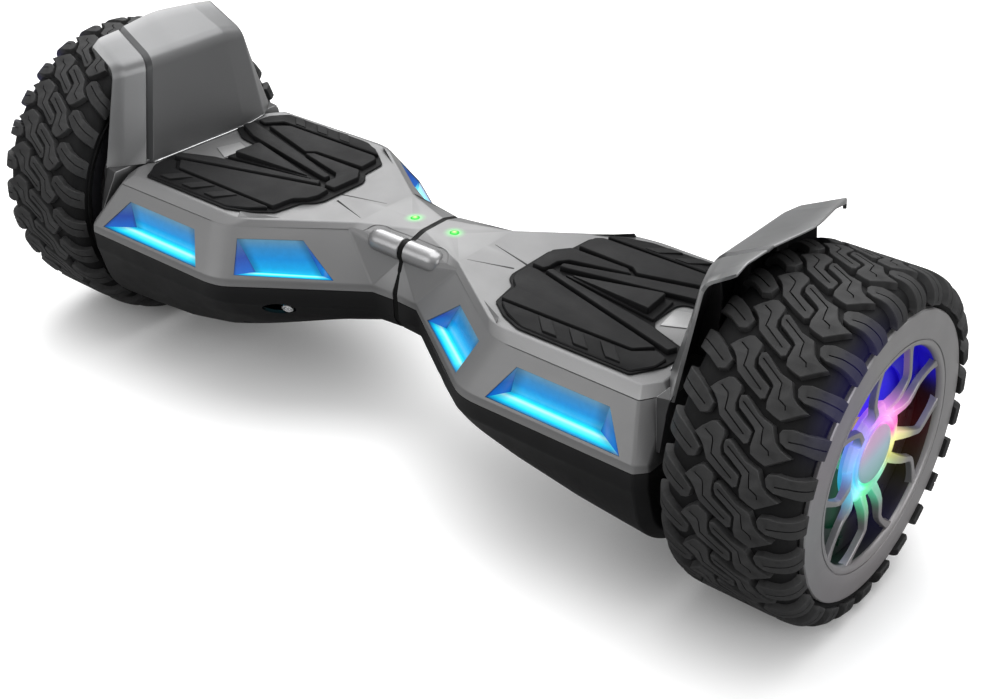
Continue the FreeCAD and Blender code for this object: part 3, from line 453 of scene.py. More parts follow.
# painted shade: dark paint on the strip beside the fender panel, standing for the shadow in its
# recessed gap
GROOVE_SHADE = paint("fender_groove", (.060, .061, .063), metallic=.45, rough=.38, edge=.2,
                     coat=.05)
LINER = plastic("inner_liner", (.022, .022, .023), rough=.5, grain=900, bump=.3, edge=.2)
BRIGHT = metal("bright_trim", (.86, .87, .88), rough=.22)
SATIN = paint("capsule_satin", (.38, .38, .385), metallic=.85, rough=.33, coat=.15, flake=.16)
LOWER_PLASTIC = plastic("lower_plastic", (.006, .006, .0066), rough=.44, grain=1500, bump=.12,
                        specular=.20, coat=.06, edge=.10)
PAD_FLANK = plastic("pad_rubber", (.0045, .0045, .005), rough=.58, grain=1250, bump=.5,
                    specular=.14, edge=.12)
PAD_TOP = plastic("pad_top", (.012, .012, .0126), rough=.62, grain=1250, bump=.6,
                  specular=.17, edge=.45)
TYRE_RUBBER = plastic("tyre_rubber", (.009, .009, .0095), rough=.62, grain=900, bump=.5,
                      specular=.22, edge=.1)
TREAD_RUBBER = plastic("tread_rubber", (.024, .024, .0245), rough=.60, grain=900, bump=.75,
                       specular=.30, edge=.40)
SEAL_RUBBER = plastic("seal_rubber", (.004, .004, .004), rough=.55, grain=900, bump=.2,
                      specular=.15)
# painted light: a lighter copy of the shell paint for the raised deck plate, standing for a lit
# facet
PLATE_LIT_PAINT = paint("plate_light", (.36, .36, .362), metallic=.2, rough=.4)
LENS = lens_material()
COVER, INNER, HUB = cover_material(), inner_material(), hub_material()
add_spill(TREAD_RUBBER)
add_spill(TYRE_RUBBER)
STATUS_GREEN = status_material()


# ------------------------------------------------------------------ mesh helpers
def mesh_object(name, vertices, faces):
    """Linked smooth object from millimetre points."""
    mesh = bpy.data.meshes.new(name)
    mesh.from_pydata([tuple(c * MM for c in vertex) for vertex in vertices], [], faces)
    mesh.validate()
    mesh.update()
    piece = bpy.data.objects.new(name, mesh)
    scene.collection.objects.link(piece)
    smooth_all(piece)
    return piece


def smooth_all(piece):
    polygons = piece.data.polygons
    polygons.foreach_set("use_smooth", [True] * len(polygons))


def grid_faces(rings, count, closed=True, wrap=False):
    """Quads between rings of count points; wrap joins the last ring to the first."""
    faces = []
    for k in range(rings if wrap else rings - 1):
        here, there = k * count, (k + 1) % rings * count
        for i in range(count if closed else count - 1):
            j = (i + 1) % count
            faces.append([here + i, here + j, there + j, there + i])
    return faces


def stack_faces(rings, count):
    """Quads between closed rings, with a cap on the first and the last."""
    caps = [list(range(count - 1, -1, -1)), [(rings - 1) * count + i for i in range(count)]]
    return grid_faces(rings, count) + caps


@contextmanager
def editing(piece):
    bm = bmesh.new()
    bm.from_mesh(piece.data)
    yield bm
    bm.to_mesh(piece.data)
    bm.free()


def surface_tree(piece):
    bm = bmesh.new()
    bm.from_mesh(piece.data)
    tree = BVHTree.FromBMesh(bm)
    bm.free()
    return tree


def weld(piece, distance=1e-5, outward=None):
    """Merge points and align normals; outward is a point and the way its face must look."""
    with editing(piece) as bm:
        bmesh.ops.remove_doubles(bm, verts=bm.verts, dist=distance)
        bmesh.ops.recalc_face_normals(bm, faces=bm.faces)
        if outward:
            point, direction = outward
            point = Vector(point) * MM
            nearest = min(bm.faces, key=lambda f: (f.calc_center_median() - point).length)
            if nearest.normal.dot(Vector(direction)) < 0:
                bmesh.ops.reverse_faces(bm, faces=bm.faces)
    return piece


def modify(piece, kind, **settings):
    modifier = piece.modifiers.new(kind.lower(), kind)
    for name, value in settings.items():
        setattr(modifier, name, value)


def bake(piece):
    """Apply the modifiers."""
    graph = bpy.context.evaluated_depsgraph_get()
    mesh = bpy.data.meshes.new_from_object(piece.evaluated_get(graph), depsgraph=graph)
    piece.modifiers.clear()
    old = piece.data
    piece.data = mesh
    bpy.data.meshes.remove(old)


def bevel(piece, width, degrees):
    modify(piece, "BEVEL", width=width * MM, segments=2, limit_method="ANGLE",
           angle_limit=radians(degrees), use_clamp_overlap=True)
    bake(piece)


def weigh_normals(piece):
    modify(piece, "WEIGHTED_NORMAL", mode="FACE_AREA", weight=50, keep_sharp=True)


def discard(piece):
    mesh = piece.data
    bpy.data.objects.remove(piece)
    bpy.data.meshes.remove(mesh)


def cut_away(piece, cutters):
    for cutter in cutters:
        modify(piece, "BOOLEAN", object=cutter, operation="DIFFERENCE", solver="MANIFOLD")
    bake(piece)
    for cutter in cutters:
        discard(cutter)


def sharpen(piece, degrees):
    """Smooth shading, with edges sharper than the angle kept sharp."""
    smooth_all(piece)
    with editing(piece) as bm:
        for edge in bm.edges:
            edge.smooth = not (len(edge.link_faces) != 2
                               or edge.calc_face_angle(0) > radians(degrees))


def set_materials(piece, *materials):
    piece.data.materials.clear()
    for material in materials:
        piece.data.materials.append(material)


def finish(piece, degrees, *materials):
    sharpen(piece, degrees)
    set_materials(piece, *materials)


def twin(piece, flip=MIRROR_X, name=None):
    """Copy mirrored in x or y or turned half round; by default named _left for _right."""
    name = name or piece.name.replace("_right", "_left")
    mesh = piece.data.copy()
    mesh.transform(Matrix.Diagonal((*flip, 1, 1)))
    if flip != HALF_TURN:
        mesh.flip_normals()
    mesh.name = name
    copy = bpy.data.objects.new(name, mesh)
    scene.collection.objects.link(copy)
    for source in piece.modifiers:
        target = copy.modifiers.new(source.name, source.type)
        for setting in source.bl_rna.properties:
            if not setting.is_readonly and setting.identifier not in ("name", "type"):
                # guards against settings that refuse the copied value
                try:
                    setattr(target, setting.identifier, getattr(source, setting.identifier))
                except Exception:
                    pass
    return copy


def join(parts, name):
    """One object from several parts that have at most one material each."""
    bm = bmesh.new()
    materials = []
    for part in parts:
        index = 0
        for material in part.data.materials:
            if material not in materials:
                materials.append(material)
            index = materials.index(material)
        first = len(bm.faces)
        bm.from_mesh(part.data)
        bm.faces.ensure_lookup_table()
        for face in bm.faces[first:]:
            face.material_index = index
    mesh = bpy.data.meshes.new(name)
    bm.to_mesh(mesh)
    bm.free()
    for material in materials:
        mesh.materials.append(material)
    for part in parts:
        discard(part)
    piece = bpy.data.objects.new(name, mesh)
    scene.collection.objects.link(piece)
    return piece


def rename(piece, name):
    piece.name = piece.data.name = name


def register(piece, body, stands_for=None):
    """Tell the frame what the piece moves with and the part it replaces."""
    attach(piece, body)
    if stands_for:
        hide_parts(stands_for)


# ------------------------------------------------------------------ outlines and curves
def signed_area(outline):
    """Twice the area, positive when the outline runs anticlockwise."""
    following = outline[1:] + outline[:1]
    return sum(a[0] * b[1] - b[0] * a[1] for a, b in zip(outline, following))


def conic(corner, before, after, reach_before, reach_after, steps):
    """Rounded corner, starting and ending at the given reach from its point."""
    corner, before, after = Vector(corner), Vector(before), Vector(after)
    back, ahead = (before - corner).normalized(), (after - corner).normalized()
    start, end = corner + back * reach_before, corner + ahead * reach_after
    weight = sin(.5 * acos(max(-1, min(1, back.dot(ahead)))))
    points = []
    for i in range(steps + 1):
        t = i / steps
        a, b, c = (1 - t) ** 2, 2 * weight * t * (1 - t), t * t
        points.append((start * a + corner * b + end * c) / (a + b + c))
    return points


def catmull(points, steps):
    """Centripetal spline through the points, with so many steps a span."""
    P = [Vector(p) for p in points]
    P = [P[0] * 2 - P[1]] + P + [P[-1] * 2 - P[-2]]
    curve = []
    for i in range(1, len(P) - 2):
        p0, p1, p2, p3 = P[i - 1:i + 3]
        t0 = 0.0
        t1 = t0 + max(1e-6, (p1 - p0).length) ** .5
        t2 = t1 + max(1e-6, (p2 - p1).length) ** .5
        t3 = t2 + max(1e-6, (p3 - p2).length) ** .5
        for k in range(steps):
            t = t1 + (t2 - t1) * k / steps
            a1 = p0 * ((t1 - t) / (t1 - t0)) + p1 * ((t - t0) / (t1 - t0))
            a2 = p1 * ((t2 - t) / (t2 - t1)) + p2 * ((t - t1) / (t2 - t1))
            a3 = p2 * ((t3 - t) / (t3 - t2)) + p3 * ((t - t2) / (t3 - t2))
            b1 = a1 * ((t2 - t) / (t2 - t0)) + a2 * ((t - t0) / (t2 - t0))
            b2 = a2 * ((t3 - t) / (t3 - t1)) + a3 * ((t - t1) / (t3 - t1))
            curve.append(b1 * ((t2 - t) / (t2 - t1)) + b2 * ((t - t1) / (t2 - t1)))
    curve.append(P[-2].copy())
    return curve


def inset(outline, distance):
    """Shrink a plan outline; a negative distance grows it."""
    sign = 1 if signed_area(outline) > 0 else -1
    result = []
    for i, point in enumerate(outline):
        before, here = Vector(outline[i - 1]), Vector(point)
        after = Vector(outline[(i + 1) % len(outline)])
        along1, along2 = (here - before).normalized(), (after - here).normalized()
        normal1 = Vector((-along1.y, along1.x)) * sign
        normal2 = Vector((-along2.y, along2.x)) * sign
        step = distance / max(.35, 1 + normal1.dot(normal2))
        result.append(tuple(here + (normal1 + normal2) * step))
    return result


def round_corners(outline, reach, steps):
    """Round a plan outline; reach is one length, or one for each corner."""
    result = []
    for i, (x, y) in enumerate(outline):
        length = reach[i] if isinstance(reach, list) else reach
        before, after = outline[i - 1], outline[(i + 1) % len(outline)]
        reaches = [min(length, hypot(p[0] - x, p[1] - y) * .45) for p in (before, after)]
        curve = conic((x, y, 0), (*before, 0), (*after, 0), *reaches, steps)
        result += [(p.x, p.y) for p in curve]
    return result


# ------------------------------------------------------------------ basic solids
def prism(name, outline, bottom, top, edge=0.0):
    """Closed slab over a plan outline, with its edges bevelled if edge is given."""
    if signed_area(outline) < 0:
        outline = outline[::-1]
    n = len(outline)
    vertices = [(x, y, z) for z in (bottom, top) for x, y in outline]
    caps = [list(range(n - 1, -1, -1)), list(range(n, 2 * n))]
    piece = mesh_object(name, vertices, caps + grid_faces(2, n))
    if edge:
        bevel(piece, edge, degrees=25)
    return piece


def bridge(name, ring, other):
    """Closed solid between two matching rings of points."""
    n = len(ring)
    caps = [list(range(n)), list(range(2 * n - 1, n - 1, -1))]
    return weld(mesh_object(name, ring + other, caps + grid_faces(2, n)), 1e-6)


def layered(name, rings):
    """Closed solid through stacked plan outlines: [(points, heights), ...]."""
    vertices = [(x, y, z) for points, heights in rings for (x, y), z in zip(points, heights)]
    piece = mesh_object(name, vertices, stack_faces(len(rings), len(rings[0][0])))
    with editing(piece) as bm:
        bmesh.ops.recalc_face_normals(bm, faces=bm.faces)
    return piece


def spin(name, profile, steps, place, closed=True, **welding):
    """Turn an (along, radius) profile; place maps along and two radial parts to a point."""
    vertices = []
    for k in range(steps):
        angle = 2 * pi * k / steps
        vertices += [place(along, r * cos(angle), r * sin(angle)) for along, r in profile]
    faces = grid_faces(steps, len(profile), closed, wrap=True)
    return weld(mesh_object(name, vertices, faces), **welding)


def revolve(name, profile, steps, closed=True):
    """Turn an (x, radius) profile about the axle."""
    return spin(name, profile, steps, lambda x, y, z: (x, y, AXLE_Z + z), closed)


def cylinder_y(name, x, z, inner, outer, start, end, steps=48, chamfer=.5):
    """Chamfered tube along y, or a plug when inner is 0."""
    profile = [(start, inner), (start, outer - chamfer), (start + chamfer, outer),
               (end - chamfer, outer), (end, outer - chamfer)]
    if inner > 0:
        profile += [(end, inner + chamfer * .5), (end - chamfer * .5, inner)]
    else:
        profile += [(end, 0)]
    return spin(name, profile, steps, lambda y, dx, dz: (x + dx, y, z + dz), closed=inner > 0)


def cylinder_z(name, x, y, inner, outer, start, end, steps=32, chamfer=.3, lift=0):
    piece = cylinder_y(name, 0, 0, inner, outer, start, end, steps, chamfer)
    place = Matrix.Translation((x * MM, y * MM, lift * MM))
    piece.data.transform(place @ Matrix.Rotation(pi / 2, 4, "X"))
    return piece


def cylinder_x(name, y, z, radius, start, end):
    piece = cylinder_y(name, 0, 0, 0, radius, start, end, steps=40, chamfer=.2)
    place = Matrix.Translation((0, y * MM, z * MM))
    piece.data.transform(place @ Matrix.Rotation(-pi / 2, 4, "Z"))
    return piece


def tube(name, path, radius, sides):
    """Closed round tube along a path that never runs straight up."""
    path = [Vector(p) for p in path]
    vertices = []
    for i, point in enumerate(path):
        ahead = (path[min(i + 1, len(path) - 1)] - path[max(i - 1, 0)]).normalized()
        across = ahead.cross(Vector((0, 0, 1)))
        across.normalize()
        upward = across.cross(ahead).normalized()
        for k in range(sides):
            angle = 2 * pi * k / sides
            vertices.append(point + (across * cos(angle) + upward * sin(angle)) * radius)
    return weld(mesh_object(name, vertices, stack_faces(len(path), sides)), 1e-7)


class MirroredMesh:
    """Faces made on both sides of y = 0; equal points share a vertex."""

    def __init__(self):
        self.side = 1       # -1 while the faces at the back are made
        self.numbers = {}
        self.faces = []
        self.weights = {}

    def vertex(self, point):
        x, y, z = Vector(point)
        place = (round(x, 5), round(y * self.side, 5) + 0.0, round(z, 5))
        return self.numbers.setdefault(place, len(self.numbers))

    def face(self, *points):
        self.faces.append([self.vertex(point) for point in points])

    def crease(self, weight, *points):
        """Give a bevel weight to the edges along a run of points."""
        for a, b in zip(points, points[1:]):
            self.weights[self.vertex(a), self.vertex(b)] = weight

    def build(self, name, facing):
        """Object with bevelled creases; facing is 1 if its normals look up, -1 if down."""
        piece = mesh_object(name, list(self.numbers), self.faces)
        with editing(piece) as bm:
            bmesh.ops.recalc_face_normals(bm, faces=bm.faces)
            extreme = max(bm.faces, key=lambda f: f.calc_center_median().z * facing)
            if extreme.normal.z * facing < 0:
                bmesh.ops.reverse_faces(bm, faces=bm.faces)
            layer = bm.edges.layers.float.new("bevel_weight_edge")
            bm.verts.ensure_lookup_table()
            for (a, b), weight in self.weights.items():
                bm.edges.get((bm.verts[a], bm.verts[b]))[layer] = weight
        modify(piece, "BEVEL", width=1.3 * MM, segments=3, limit_method="WEIGHT",
               use_clamp_overlap=True)
        return piece


# ------------------------------------------------------------------ upper shell
# Corners of the front of the right shell. Letters run from the seam outwards: S seam,
# B and C bend near the seam, D and E ends of the long side, F chamfer, G end wall.
# Digits run downwards: 0 deck on the centre line, 1 edge of the deck (also the centre line
# for G), 2 shoulder, 3 seam only, 4 sill, 5 lower rim.
CORNERS = dict(
    S0=(HALF_GAP, 0, 148.0), S1=(HALF_GAP, -11, 148.0), S2=(HALF_GAP, -23.5, 144.6),
    S3=(HALF_GAP, -34.2, 134.0), S4=(HALF_GAP, -41.2, 113), S5=(HALF_GAP, -40.8, 107.8),
    B4=(19.6, -42.3, 113), B5=(19.6, -41.9, 107.8),
    C0=(44, 0, DECK_Z), C1=(44, -28, DECK_Z), C2=(47, -33.5, 142.8),
    D1=(110, -74, DECK_Z), D2=(117.5, -82.6, 142.3), D4=(108, -102.7, 113),
    D5=(108, -103.1, 107.8),
    E1=(219, -74, DECK_Z), E2=(223.5, -82.4, 141.5), E4=(235.2, -102.7, 113),
    E5=(235.3, -103.1, 107.8),
    F1=(227, -63, DECK_Z), F2=(233.2, -66.7, 141.3), F4=(241.5, -95.9, 113),
    F5=(241.8, -95.4, 107.8),
    G1=(227, 0, DECK_Z), G2=(233.2, 0, 141.3), G4=(241.5, 0, 113), G5=(241.8, 0, 107.8))
CORNERS = {name: Vector(point) for name, point in CORNERS.items()}

# Front half of the opening in the deck under the foot pad.
DECK_OPENING = [(183, 0, DECK_Z), (183, -23, DECK_Z), (206, -23, DECK_Z),
                (206, -44, DECK_Z), (104, -44, DECK_Z), (104, 0, DECK_Z)]
GROOVE = [(HALF_GAP - 1, -19.6), (8, -19.9), (16, -20.3), (24, -20.9), (29.5, -22.4),
          (33.6, -25.4), (36.0, -29.0), (37.2, -31.0)]      # x, y beside the capsule
WEDGES = (((48.0, 5.2), (83.5, -4.2)), ((47.0, -22.0), (78.0, -12.6)))    # start, end on deck


def wall_window(a, b, c, points):
    """Window corners dropped onto the wall through corners a, b, c; also its normal."""
    a, b, c = (CORNERS[name] for name in (a, b, c))
    normal = (b - a).cross(c - a).normalized()
    if normal.y > 0:
        normal = -normal
    points = [Vector(p) for p in points]
    return [p - normal * (p - a).dot(normal) for p in points], normal


# Lamp windows, from the upper corner nearer the seam: along the top, then back below.
OUTER_WINDOW, OUTER_NORMAL = wall_window("D2", "D4", "E4", (
    (140.7, -88.2, 134.2), (208.0, -88.2, 134.2), (225.0, -101.8, 114.6), (127.4, -101.8, 114.6)))
INNER_WINDOW, INNER_NORMAL = wall_window("C2", "B4", "D2", (
    (69.9, -54.1, 134.6), (106.2, -81.0, 135.4), (98.0, -94.0, 115.6), (41.5, -56.2, 114.8)))


def shell_row(level, bend, reach):
    """Points of one level from the seam to the end wall, with corner D rounded."""
    seam, inner, corner, end, chamfer, wall = (CORNERS[c + level] for c in "S" + bend + "DEFG")
    rounded = conic(corner, inner, end, 9.5, reach, CORNER_STEPS)
    return [seam, inner] + rounded + [end, chamfer, wall]


def upper_mesh():
    deck, shoulder = shell_row("1", "C", 13), shell_row("2", "C", 13)
    sill, rim = shell_row("4", "B", 14), shell_row("5", "B", 14)
    seam_bend = CORNERS["S3"]
    high, middle, low = [], [], []      # three rows that round the shoulder
    for above, corner, below in zip(deck, shoulder, [seam_bend] + sill[1:]):
        up, down = (above - corner).normalized(), (below - corner).normalized()
        high.append(corner + up * .42)
        middle.append(corner + (up + down).normalized() * .75)
        low.append(corner + down * .42)

    soft, crisp, window_edge = .8, 1.0, .45     # bevel weights
    long_side = 2 + CORNER_STEPS                # index where the long side starts
    end, chamfer = long_side + 1, long_side + 2
    mesh = MirroredMesh()
    for mesh.side in (1, -1):
        mesh.face(CORNERS["S0"], deck[0], deck[1], CORNERS["C0"])
        mesh.face(CORNERS["C0"], *deck[1:], *DECK_OPENING)
        for i in range(len(deck) - 1):
            for a, b in ((deck, high), (high, middle), (middle, low), (sill, rim)):
                mesh.face(a[i], a[i + 1], b[i + 1], b[i])
        mesh.crease(soft, *deck)
        mesh.crease(soft, *sill)
        mesh.face(low[0], low[1], seam_bend)
        mesh.face(seam_bend, low[1], sill[1])
        mesh.face(seam_bend, sill[1], sill[0])
        for i, window in ((1, INNER_WINDOW), (long_side, OUTER_WINDOW)):
            wall = [low[i], low[i + 1], sill[i + 1], sill[i]]
            for k in range(4):
                j = (k + 1) % 4
                mesh.face(wall[k], wall[j], window[j], window[k])
            mesh.crease(window_edge, *window, window[0])
        for i in (*range(2, long_side), end, chamfer):
            mesh.face(low[i], low[i + 1], sill[i + 1], sill[i])
        mesh.crease(crisp, low[1], sill[1])
        mesh.crease(soft, sill[1], seam_bend, low[1])
        for i in (end, chamfer):
            mesh.crease(crisp, low[i], sill[i], rim[i])
            mesh.crease(soft, deck[i], high[i])
    return mesh


def groove_cutter(skin):
    """Thin tube lying in the skin beside the capsule."""
    path = []
    for x, y, _ in catmull([(x, y, 0) for x, y in GROOVE], 3):
        above = Vector((max(x, HALF_GAP + .05), y, 200)) * MM
        hit = skin.ray_cast(above, Vector((0, 0, -1)))[0]
        if hit:
            path.append((x, y, hit.z / MM + .12))
    return tube("groove", path, .5, 8)


def wedge_cutter(start, end):
    """Three-sided bar for a deck groove that widens and deepens towards its end."""
    start, end = Vector((*start, DECK_Z)), Vector((*end, DECK_Z))
    along = (end - start).normalized()
    across, up = Vector((-along.y, along.x, 0)), Vector((0, 0, 1))
    points = []
    for place, half_width, depth in ((start, .42, .7), (end, 1.25, 1.7)):
        points += [place + across * half_width + up * .6,
                   place - across * half_width + up * .6, place - up * depth]
    faces = [[0, 1, 2], [5, 4, 3], [0, 3, 4, 1], [1, 4, 5, 2], [2, 5, 3, 0]]
    return weld(mesh_object("wedge", points, faces))


def upper_shell():
    shell = upper_mesh().build("upper_skin_right", facing=1)
    bake(shell)
    skin = surface_tree(shell)
    modify(shell, "SOLIDIFY", thickness=WALL * MM, offset=-1, use_even_offset=True)
    bake(shell)
    cutters = [groove_cutter(skin)]
    cutters += [wedge_cutter(*ends) for ends in WEDGES]
    cutters.append(cylinder_z("lamp_hole", STATUS_X, 0, 0, 3.2, 0, 12, 48, .5, lift=141))
    hole = [(228, 0), (228, AXLE_HOLE_RADIUS), (248, AXLE_HOLE_RADIUS), (248, 0)]
    cutters.append(revolve("axle_hole", hole, 48))
    cut_away(shell, cutters)
    finish(shell, 38, SHELL_PAINT)
    weigh_normals(shell)
    return shell


def capsule():
    """Raised satin capsule on the front shoulder, running out from the seam."""
    start, straight_end, nose = HALF_GAP + .15, 21.6, 10.0
    profile = [(start, 0), (start, CAPSULE_RADIUS - .5), (HALF_GAP + .65, CAPSULE_RADIUS),
               (HALF_GAP + 6, CAPSULE_RADIUS), (14, CAPSULE_RADIUS)]
    for i in range(15):
        t = i / 14 * pi / 2
        profile.append((straight_end + nose * sin(t) ** (2 / 2.5),
                        CAPSULE_RADIUS * cos(t) ** (2 / 2.5)))
    piece = spin("seam_capsule_right", profile, 56,
                 lambda x, y, z: (x, CAPSULE_Y + y, CAPSULE_Z + z), closed=False, distance=1e-6,
                 outward=((10, CAPSULE_Y - CAPSULE_RADIUS, CAPSULE_Z), (0, -1, 0)))
    finish(piece, 40, SATIN)
    return piece


shell_right = upper_shell()
capsule_right = capsule()
for side, shell in (("right", shell_right), ("left", twin(shell_right))):
    register(shell, BODY[side], f"upper_shell_{side}")
    cap = capsule_right if side == "right" else twin(capsule_right)
    register(cap, BODY[side], f"upper_shell_{side}")

# ------------------------------------------------------------------ rubber band in the seam
SEAM_FRONT = [(0, 148.0), (-11, 148.0), (-23.5, 144.6), (-34.2, 134.0), (-41.2, 113),
              (-40.9, 107.6), (-40.6, 94.0), (-35.0, 85.0), (-22.0, 79.5), (0, 78.0)]   # y, z
SEAM_SECTION = SEAM_FRONT + [(-y, z) for y, z in reversed(SEAM_FRONT[1:-1])]
SEAM_CENTRE_Z = 112.0
SEAM_STEPS = 240
# x and distance beyond the section
BAND_PROFILE = [(-1.95, -8.0), (-1.95, -.75), (-1.6, -.35), (1.6, -.35), (1.95, -.75),
                (1.95, -8.0)]


def seam_reach(dy, dz):
    """Distance from the seam centre to the section or the capsule, whichever is further."""
    reach = 0
    for (y0, z0), (y1, z1) in zip(SEAM_SECTION, SEAM_SECTION[1:] + SEAM_SECTION[:1]):
        ey, ez = y1 - y0, z1 - z0
        cross = dy * ez - dz * ey
        if abs(cross) < 1e-9:
            continue
        z0 -= SEAM_CENTRE_Z
        distance = (y0 * ez - z0 * ey) / cross
        share = (y0 * dz - z0 * dy) / cross
        if distance > 0 and -1e-6 <= share <= 1 + 1e-6:
            reach = max(reach, distance)
    y, z = CAPSULE_Y, CAPSULE_Z - SEAM_CENTRE_Z
    along = dy * y + dz * z
    square = along * along - (y * y + z * z - (CAPSULE_RADIUS - .1) ** 2)
    if square > 0:
        reach = max(reach, along + sqrt(square))
    return reach


def seam_band():
    angles = [2 * pi * k / SEAM_STEPS for k in range(SEAM_STEPS)]
    reach = [seam_reach(cos(a), sin(a)) for a in angles]
    vertices = []
    for k, angle in enumerate(angles):
        eased = (reach[k - 1] + reach[k] * 2 + reach[(k + 1) % SEAM_STEPS]) / 4
        vertices += [(x, cos(angle) * (eased + beyond),
                      SEAM_CENTRE_Z + sin(angle) * (eased + beyond)) for x, beyond in BAND_PROFILE]
    band = mesh_object("seam_band", vertices,
                       grid_faces(SEAM_STEPS, len(BAND_PROFILE), wrap=True))
    weld(band, 1e-7, outward=((0, 0, 148), (0, 0, 1)))
    finish(band, 40, SEAL_RUBBER)
    return band


register(seam_band(), BODY["left"], "centre_seal")

# ------------------------------------------------------------------ lower shell
RIM_Z = 107.4
# x, then (distance from the centre line, z) from the rim down to the keel
STATIONS = [
    (2.1, [(40.8, RIM_Z), (40.6, 94.0), (35.0, 85.0), (22.0, 79.5), (0, 78.0)]),
    (19.6, [(41.9, RIM_Z), (41.5, 94.0), (37.0, 85.5), (24.0, 79.0), (0, 77.0)]),
    (45.0, [(60.4, RIM_Z), (59.6, 94.5), (50.0, 82.0), (30.0, 74.0), (0, 71.0)]),
    (80.0, [(84.8, RIM_Z), (83.8, 94.5), (72.0, 80.0), (50.0, 66.5), (0, 62.0)]),
    (108.0, [(103.1, RIM_Z), (102.0, 95.0), (90.0, 80.0), (54.0, 56.5), (0, 52.0)]),
    (140.0, [(103.1, RIM_Z), (102.0, 95.0), (90.0, 73.0), (55.0, 45.5), (0, 42.5)]),
    (180.0, [(103.1, RIM_Z), (102.0, 94.5), (90.0, 68.0), (55.0, 36.5), (0, 34.0)]),
    (215.0, [(103.1, RIM_Z), (102.0, 94.5), (90.0, 63.5), (55.0, 34.5), (0, 32.5)]),
    (235.3, [(103.1, RIM_Z), (102.0, 94.5), (90.0, 60.5), (55.0, 35.5), (0, 33.5)]),
    (241.8, [(95.4, RIM_Z), (94.6, 94.5), (84.0, 64.5), (52.0, 41.0), (0, 39.0)])]
# reach of the rounding before and after the corner station, for each level
BELLY_ROUNDING = ((9.5, 14), (9.5, 14), (13, 18), (18, 20), (18, 20))
SCREWS = [(70, -34), (70, 34), (120, -66), (120, 66), (214, -66), (214, 66)]   # x, y
SCREW_TUBE_RADIUS = 4.9
FITTING_X, SOCKET_Z, BUTTON_Z = 165, 95.5, 96      # charging socket, power button


def belly_row(level, rounding):
    """One level of the stations, with the corner station rounded."""
    points = [Vector((x, -outline[level][0], outline[level][1])) for x, outline in STATIONS]
    rounded = conic(points[4], points[3], points[5], *rounding, CORNER_STEPS)
    return points[:4] + rounded + points[5:]


def lower_shell():
    rows = [belly_row(*pair) for pair in enumerate(BELLY_ROUNDING)]
    columns = []
    for points in zip(*rows):
        rim, band = points[:2]      # the flat band lies between these
        columns.append([rim, rim.lerp(band, .5), band] + catmull(points[1:], 7)[1:])
    mesh = MirroredMesh()
    for mesh.side in (1, -1):
        for here, there in zip(columns, columns[1:]):
            for j in range(len(here) - 1):
                mesh.face(here[j], there[j], there[j + 1], here[j + 1])
        mesh.crease(1.0, *[column[2] for column in columns])
        mesh.crease(1.0, *columns[-2])
        mesh.crease(1.0, *columns[-1])
        mesh.face(*columns[-1], (STATIONS[-1][0], 0, RIM_Z))
    shell = mesh.build("belly_right", facing=-1)
    modify(shell, "SOLIDIFY", thickness=WALL * MM, offset=-1, use_even_offset=False)
    bake(shell)
    return shell


def recess_cutter(sign):
    """Flattened ball that hollows the front of the belly."""
    piece = mesh_object("recess", [], [])
    place = (Matrix.Translation(Vector((74.4 * sign, -77.0, 90.4)) * MM)
             @ Matrix.Rotation(radians(-32 * sign), 4, "Z")
             @ Matrix.Diagonal((.0120, .0080, .0056, 1)))
    with editing(piece) as bm:
        bmesh.ops.create_uvsphere(bm, u_segments=32, v_segments=16, radius=1.0)
        bmesh.ops.transform(bm, matrix=place, verts=bm.verts)
    return piece


def belly_cutters(sign):
    start, end = sorted((236 * sign, 246 * sign))
    cutters = [cylinder_x("axle_hole", 0, AXLE_Z, AXLE_HOLE_RADIUS, start, end)]
    cutters += [cylinder_z("screw_hole", x * sign, y, 0, 3.7, 20, 101) for x, y in SCREWS]
    if sign > 0:
        cutters.append(cylinder_y("socket_hole", FITTING_X, SOCKET_Z, 0, 9.6, 88, 112))
        for x in range(158, 203, 9):
            slot = [(x, -14), (x + 4, -14), (x + 4, 14), (x, 14)]
            cutters.append(prism("belly_slot", slot, 25, 45))
    else:
        cutters.append(cylinder_y("button_hole", -FITTING_X, BUTTON_Z, 0, 8.6, 88, 112))
    cutters.append(recess_cutter(sign))
    return cutters


def socket_boss():
    """Ring round the charging socket at the back, with a hinge below it."""
    y, z, width, starts = 105.6, 81.5, 2, (159.6, 168.4)
    parts = [cylinder_y("socket_boss", FITTING_X, SOCKET_Z, 7.65, 10.9, 86, 104.5, 64, .6)]
    parts += [cylinder_x("knuckle", y, z, 2.4, x, x + width) for x in starts]
    parts.append(cylinder_x("pin", y, z, .9, starts[0], starts[1] + width))
    for x in starts:
        arm = [(x, 96), (x + width, 96), (x + width, y), (x, y)]
        parts.append(prism("arm", arm, 79.3, 83.7, .3))
    return join(parts, "socket_boss")


def button_boss():
    return cylinder_y("button_boss", -FITTING_X, BUTTON_Z, 6.15, 9.4, 86, 103.9, 64, .6)


def screw_wells(skin, side, sign):
    """Tubes that run from inside the belly skin up to the rim."""
    wells = []
    for x, y in SCREWS:
        heights = []
        for k in range(12):
            angle = k / 6 * pi
            below = Vector((x + SCREW_TUBE_RADIUS * cos(angle),
                            y + SCREW_TUBE_RADIUS * sin(angle), -20)) * MM
            heights.append(skin.ray_cast(below, Vector((0, 0, 1)))[0].z / MM)
        wells.append(cylinder_z("well", x * sign, y, 3.65, SCREW_TUBE_RADIUS,
                                max(heights) + .3, 103, 32, .2))
    return join(wells, f"screw_wells_{side}")


